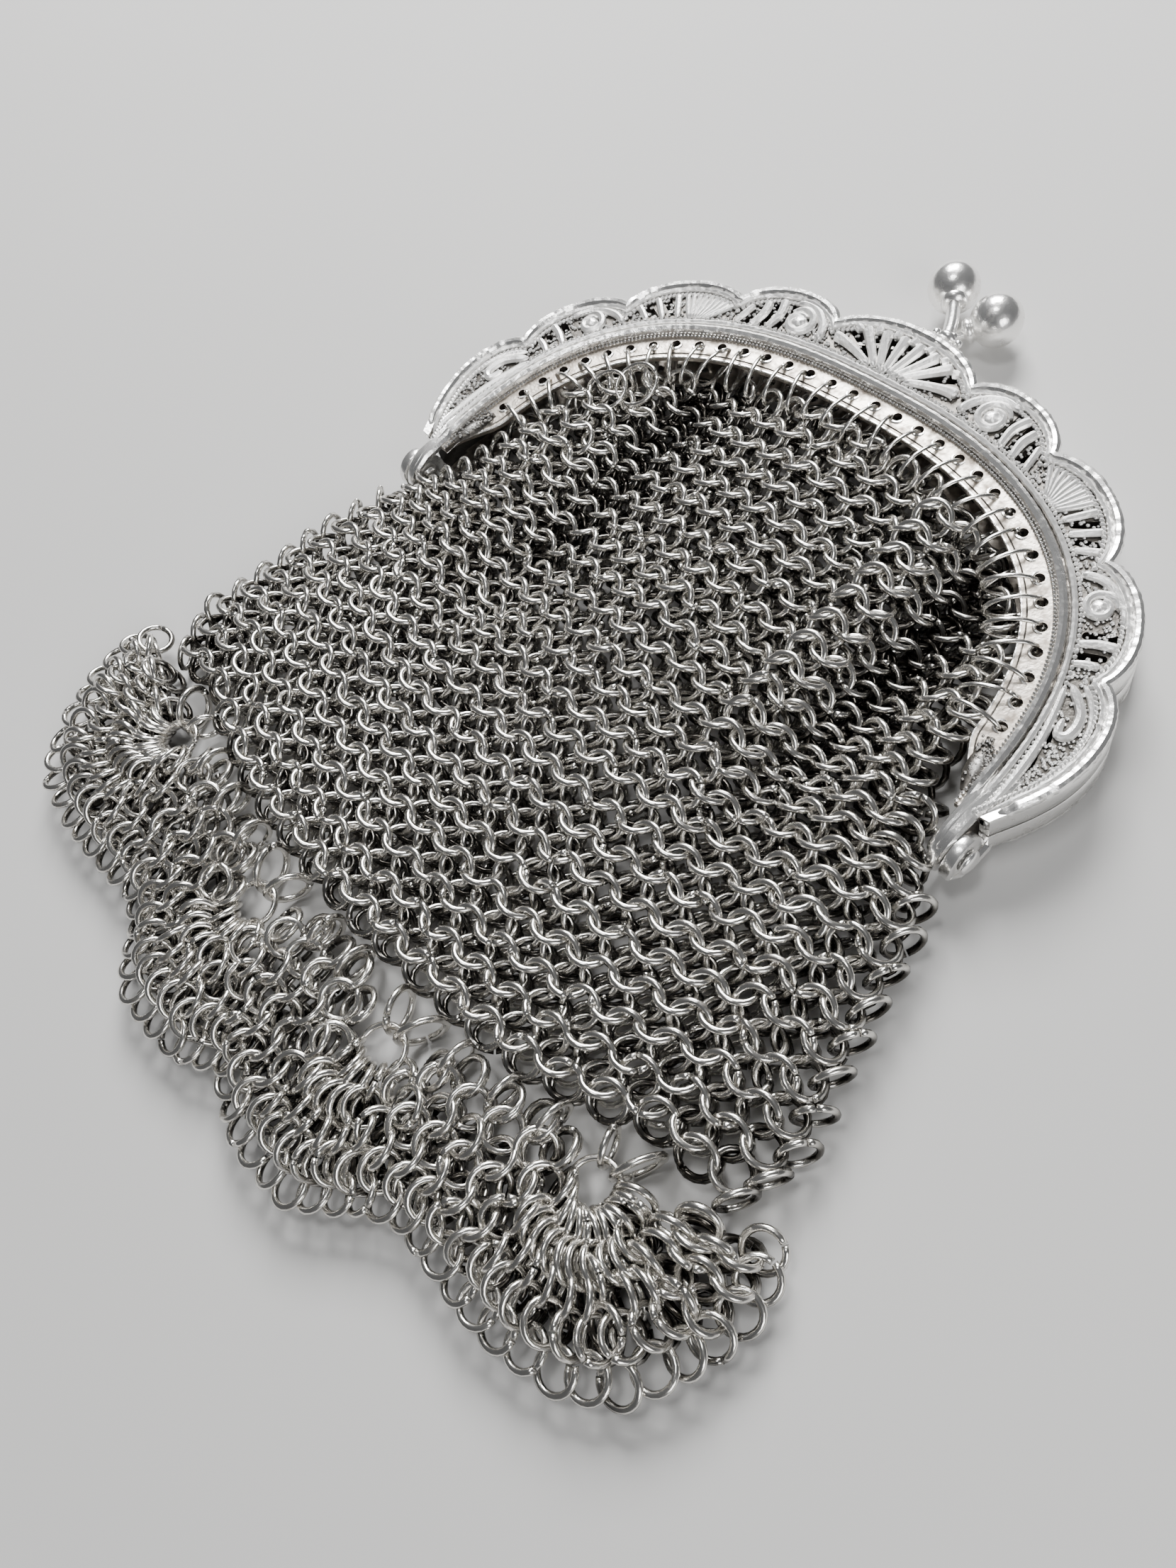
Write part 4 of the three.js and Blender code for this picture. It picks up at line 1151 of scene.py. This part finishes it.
# Painted shade: pouch rings between these heights, inside the bag, are darkened.
POUCH_SHADE_BAND = (1.3, 3.1)
SPLIT_LEVEL = -4
upper = [matrix for y, matrix in front_rings if y > SPLIT_LEVEL]
lower = [matrix for y, matrix in front_rings if y <= SPLIT_LEVEL]
back = [matrix for _, matrix in back_rings]
for name, rings, one in (("pouch_front_upper", upper, fine_ring),
                         ("pouch_front_lower", lower, fine_ring),
                         ("pouch_back", back, plain_ring)):
    shown(name, strung(rings, one, name, POUCH_SHADE_BAND), "ring_wire", "mesh_pouch")


# Sewing rings
# A larger ring of thinner wire goes through each hole of the flange and over its edge into the
# mesh. The rings droop, so they are a little flattened.
SEWING_RADIUS = 2.1
SEWING_WIRE = 0.2
SEWING_LEVEL = 1.35
SEWING_SQUASH = 0.62
sewing_ring = wire_ring(SEWING_RADIUS, SEWING_WIRE, 20, 6, 4)


def sewing_rings(level):
    """A ring through each hole of the flange that lies at a level above the table."""
    made = []
    for t in hole_places:
        out = outward(t)
        hole = on_jaw(t, SEWING_HOLE_INSET - flange_width(t), 0).to_2d()
        middle = hole - out * (SEWING_RADIUS - 0.1)
        inward = Vector((-out.x, -out.y, 0))
        across = Vector((out.y, -out.x, 0))
        stand = Matrix((inward, Vector((0, 0, 1)), across)).transposed().to_4x4()
        sway = Matrix.Rotation(math.radians(spread.gauss(0, 11)), 4, "Z")
        squash = Matrix.Diagonal((1, SEWING_SQUASH, 1, 1))
        dip = Matrix.Rotation(math.radians(spread.gauss(4, 4)), 4, "Z")
        seam = Matrix.Rotation(spread.uniform(2, 4), 4, "Z")
        place = Matrix.Translation((middle.x, middle.y, level))
        made.append(place @ sway @ stand @ dip @ squash @ seam)
    return made


# Two open, thicker rings where the mesh has been mended: spot, size and where each is open.
MENDS = [((-17.6, 17.2, 5.3), 1.35, 1), ((-19.6, 15.4, 5.1), 1.25, 3.4)]


def mended(spot, size, opening):
    turn = Matrix.Rotation(0.3, 4, "X") @ Matrix.Rotation(opening, 4, "Z")
    thick = Matrix.Diagonal((size, size, 1.7, 1)) @ Matrix.Scale(RING_RADIUS / SEWING_RADIUS, 4)
    return Matrix.Translation(spot) @ turn @ thick


rings = sewing_rings(MEETING_Z + SEWING_LEVEL) + sewing_rings(MEETING_Z - SEWING_LEVEL)
rings += [mended(*mend) for mend in MENDS]
shown("sewing_rings", strung(rings, sewing_ring, "sewing_rings"), "ring_wire")


# Star rings and links
# Four larger rings lie under the pouch's edge. Fans of hem rings hang on them, and upright links
# join them and the hem to the last row of the pouch.
STAR_RADIUS = 1.85
STAR_WIRE = 0.25
STAR_NODES = [f"star_ring_{k + 1}" for k in range(4)]
LINKS_OF_A_KIND = 8
LINK_SLACK = 0.03
star_ring = wire_ring(STAR_RADIUS, STAR_WIRE, 28, 9, 5)


def middle_of(node):
    low, high = node_box(node)
    return (low + high) / 2 - Vector((0, RIVET_LINE, 0))


stars = [Matrix.Translation(middle_of(node)) @ Matrix.Rotation(spread.uniform(0, 6), 4, "Z")
         for node in STAR_NODES]
shown("star_rings", strung(stars, star_ring, "star_rings"), "ring_wire", *STAR_NODES)


def upright(node, mirrored):
    """A link that stands on edge across its node's box."""
    low, high = node_box(node)
    half = (high - low) / 2
    size = (half.z - WIRE_RADIUS - LINK_SLACK) / RING_RADIUS
    turn = math.atan2(half.y - WIRE_RADIUS, max(half.x - WIRE_RADIUS, 0.01))
    if mirrored:
        turn = math.pi - turn
    stand = Matrix.Rotation(turn, 4, "Z") @ Matrix.Rotation(math.pi / 2, 4, "X")
    seam = Matrix.Rotation(spread.uniform(0, 6), 4, "Z")
    return Matrix.Translation(middle_of(node)) @ stand @ Matrix.Diagonal((size, size, 1, 1)) @ seam


for kind in ("star", "edge"):
    nodes = [f"{kind}_link_{k + 1}" for k in range(LINKS_OF_A_KIND)]
    rings = [upright(node, kind == "star" and k % 2 == 0) for k, node in enumerate(nodes)]
    shown(f"{kind}_links", strung(rings, fine_ring, f"{kind}_links"), "ring_wire", *nodes)


# Ring mesh of the hem
# The hem is the same mesh turned a quarter, so that its rows run outwards and its rings stand
# nearly on edge. They crowd in fans round the star rings and open along the scalloped edge.
HEM_HALF_WIDTH = 41.4
HEM_DROP = 50.6
HEM_LEVEL = 2.25
HEM_LIFT = 0.95
HEM_EDGE = 2.2
BACK_SINK = 0.1
LINK_GAP = 0.5
COLUMN_STEP = 1.22
CLOSE_STEP = 0.42
RING_REACH = RING_RADIUS + WIRE_RADIUS
# Spokes from the middle to the right end: what each starts from, at which place or angle, and
# where it ends, as shares of the hem's half width and drop.
SPOKES = [
    ("edge", 0, 0, 0.953), ("edge", 0.1, 0.055, 0.978), ("inner", -150, 0.116, 0.994),
    ("inner", -110, 0.193, 1), ("inner", -70, 0.275, 0.996), ("inner", -30, 0.34, 0.96),
    ("edge", 0.32, 0.395, 0.917), ("edge", 0.44, 0.453, 0.895), ("edge", 0.55, 0.52, 0.897),
    ("outer", -160, 0.6, 0.902), ("outer", -125, 0.71, 0.898), ("outer", -95, 0.83, 0.873),
    ("outer", -65, 0.916, 0.816), ("outer", -38, 0.96, 0.74), ("outer", -12, 0.993, 0.66),
    ("outer", 8, 0.994, 0.6), ("outer", 26, 0.955, 0.548),
]
STAR_X = {"inner": 8.7, "outer": 27.2}
STAR_GAP = 3.9


def spoke_ends(kind, at, x, y):
    """Where a spoke of the hem starts and ends, and whether it hangs on a star ring."""
    outer = Vector((x * HEM_HALF_WIDTH, -y * HEM_DROP, 0))
    if kind == "edge":
        start = at * HEM_HALF_WIDTH
        return Vector((start, pouch_edge(start) - LINK_GAP, 0)), outer, 0
    star = Vector((STAR_X[kind], pouch_edge(STAR_X[kind]) - STAR_GAP, 0))
    way = Vector((math.cos(math.radians(at)), math.sin(math.radians(at)), 0))
    return star + way * STAR_RADIUS, outer, 1


def hem_columns():
    """The lines of rings, from one end of the hem round to the other."""
    right = [spoke_ends(*spoke) for spoke in SPOKES]
    left = [(Vector((-a.x, a.y, 0)), Vector((-b.x, b.y, 0)), star) for a, b, star in right[1:]]
    ends = left[::-1] + right
    columns = []
    for (inner, outer, star), (next_inner, next_outer, next_star) in zip(ends, ends[1:]):
        wide = (next_outer - outer).length
        if not star * next_star:
            wide = (wide + (next_inner - inner).length) / 2
        count = max(round(wide / COLUMN_STEP), 1)
        for k in range(count):
            start = inner.lerp(next_inner, k / count)
            columns.append((start, outer.lerp(next_outer, k / count), star * next_star))
    columns.append(ends[-1])
    return columns


hem_front, hem_back = [], []
columns = hem_columns()
for column, (inner, outer, star) in enumerate(columns):
    beside = columns[column + 1 if column + 1 < len(columns) else column - 1]
    length = (outer - inner).length
    along = (outer - inner).normalized()
    across = Vector((0, 0, 1)).cross(along)
    last = length - RING_REACH
    count = max(int((last - 1) / (2 * RING_REACH) + 0.4), 1) + 1
    pitch = (last - 1) / (count - 1)
    odd = column % 2
    sway = CROWDED_SWAY * min(max((2 * RING_REACH - pitch) / 0.5, 0), 1)
    for k in range(count - odd):
        out = 1 + (k + 0.5 * odd) * pitch
        place = inner + along * out
        step = (beside[0].lerp(beside[1], out / length) - place).length
        if odd and step < CLOSE_STEP:
            continue
        if step < CLOSE_STEP:
            step *= 2
        lean = lean_for(step) * (-1 if odd else 1) * (0.5 if k == count - 1 else 1)
        flat_end = smooth(out, length - 2 - HEM_EDGE, length - HEM_EDGE)
        lift = HEM_LIFT * smooth(out, 0.5, 4.5) * (1 - flat_end)
        spot = shifted(Vector((place.x, place.y, HEM_LEVEL + lift)))
        hem_front.append(hung(spot, along, across, lean, spread, 1.3, sway))
        if out < length - HEM_EDGE and (k or odd or not star):
            spot = shifted(Vector((place.x, place.y, HEM_LEVEL - BACK_SINK - lift)))
            hem_back.append(hung(spot, along, -across, lean, spread, 1.3, sway))

# Painted shade: hem rings between these heights, under the hem's upper layer, are darkened.
HEM_SHADE_BAND = (-2, 1.5)
for name, rings, one in (("hem_front", hem_front, fine_ring), ("hem_back", hem_back, plain_ring)):
    shown(name, strung(rings, one, name, HEM_SHADE_BAND), "ring_wire", "mesh_hem")


# Table and light
# The purse lies on a plain pale table. A large soft light stands behind the clasp, a weaker one
# to the right, and a small one overhead.
TABLE_TINTS = ((0.55, 0.545, 0.535, 1), (0.59, 0.585, 0.575, 1))
TABLE_CLOUD_SCALE = 12
TABLE_HALF = 1.5


def table_material():
    material = bpy.data.materials.new("pale_table")
    material.use_nodes = True
    nodes, links = material.node_tree.nodes, material.node_tree.links
    shader = nodes["Principled BSDF"]
    shader.inputs["Roughness"].default_value = 0.75
    place = nodes.new("ShaderNodeTexCoord")
    cloud = noise_texture(nodes, links, place, TABLE_CLOUD_SCALE, 2)
    tint = nodes.new("ShaderNodeMix")
    tint.data_type = "RGBA"
    tint.inputs["A"].default_value, tint.inputs["B"].default_value = TABLE_TINTS
    links.new(cloud.outputs["Fac"], tint.inputs["Factor"])
    links.new(tint.outputs["Result"], shader.inputs["Base Color"])
    return material


bm = bmesh.new()
bmesh.ops.create_grid(bm, x_segments=1, y_segments=1, size=TABLE_HALF)
table = bpy.data.objects.new("table", finished(bm, "table"))
table.data.materials.append(table_material())
bpy.context.collection.objects.link(table)


def soft_light(name, spot, size, power):
    """A square soft box that faces the purse."""
    light = bpy.data.lights.new(name, "AREA")
    light.size = size
    light.energy = power
    made = bpy.data.objects.new(name, light)
    made.location = spot
    made.rotation_euler = Vector(spot).to_track_quat("Z", "Y").to_euler()
    bpy.context.collection.objects.link(made)


soft_light("window", (-0.22, 0.3, 0.3), 0.22, 5.0)
soft_light("fill", (0.4, -0.1, 0.25), 0.2, 1.0)
soft_light("top", (-0.05, 0.02, 0.5), 0.1, 0.7)
world = bpy.data.worlds.new("studio")
world.use_nodes = True
backdrop = world.node_tree.nodes["Background"]
backdrop.inputs["Color"].default_value = (0.5, 0.51, 0.53, 1)
backdrop.inputs["Strength"].default_value = 0.22
bpy.context.scene.world = world
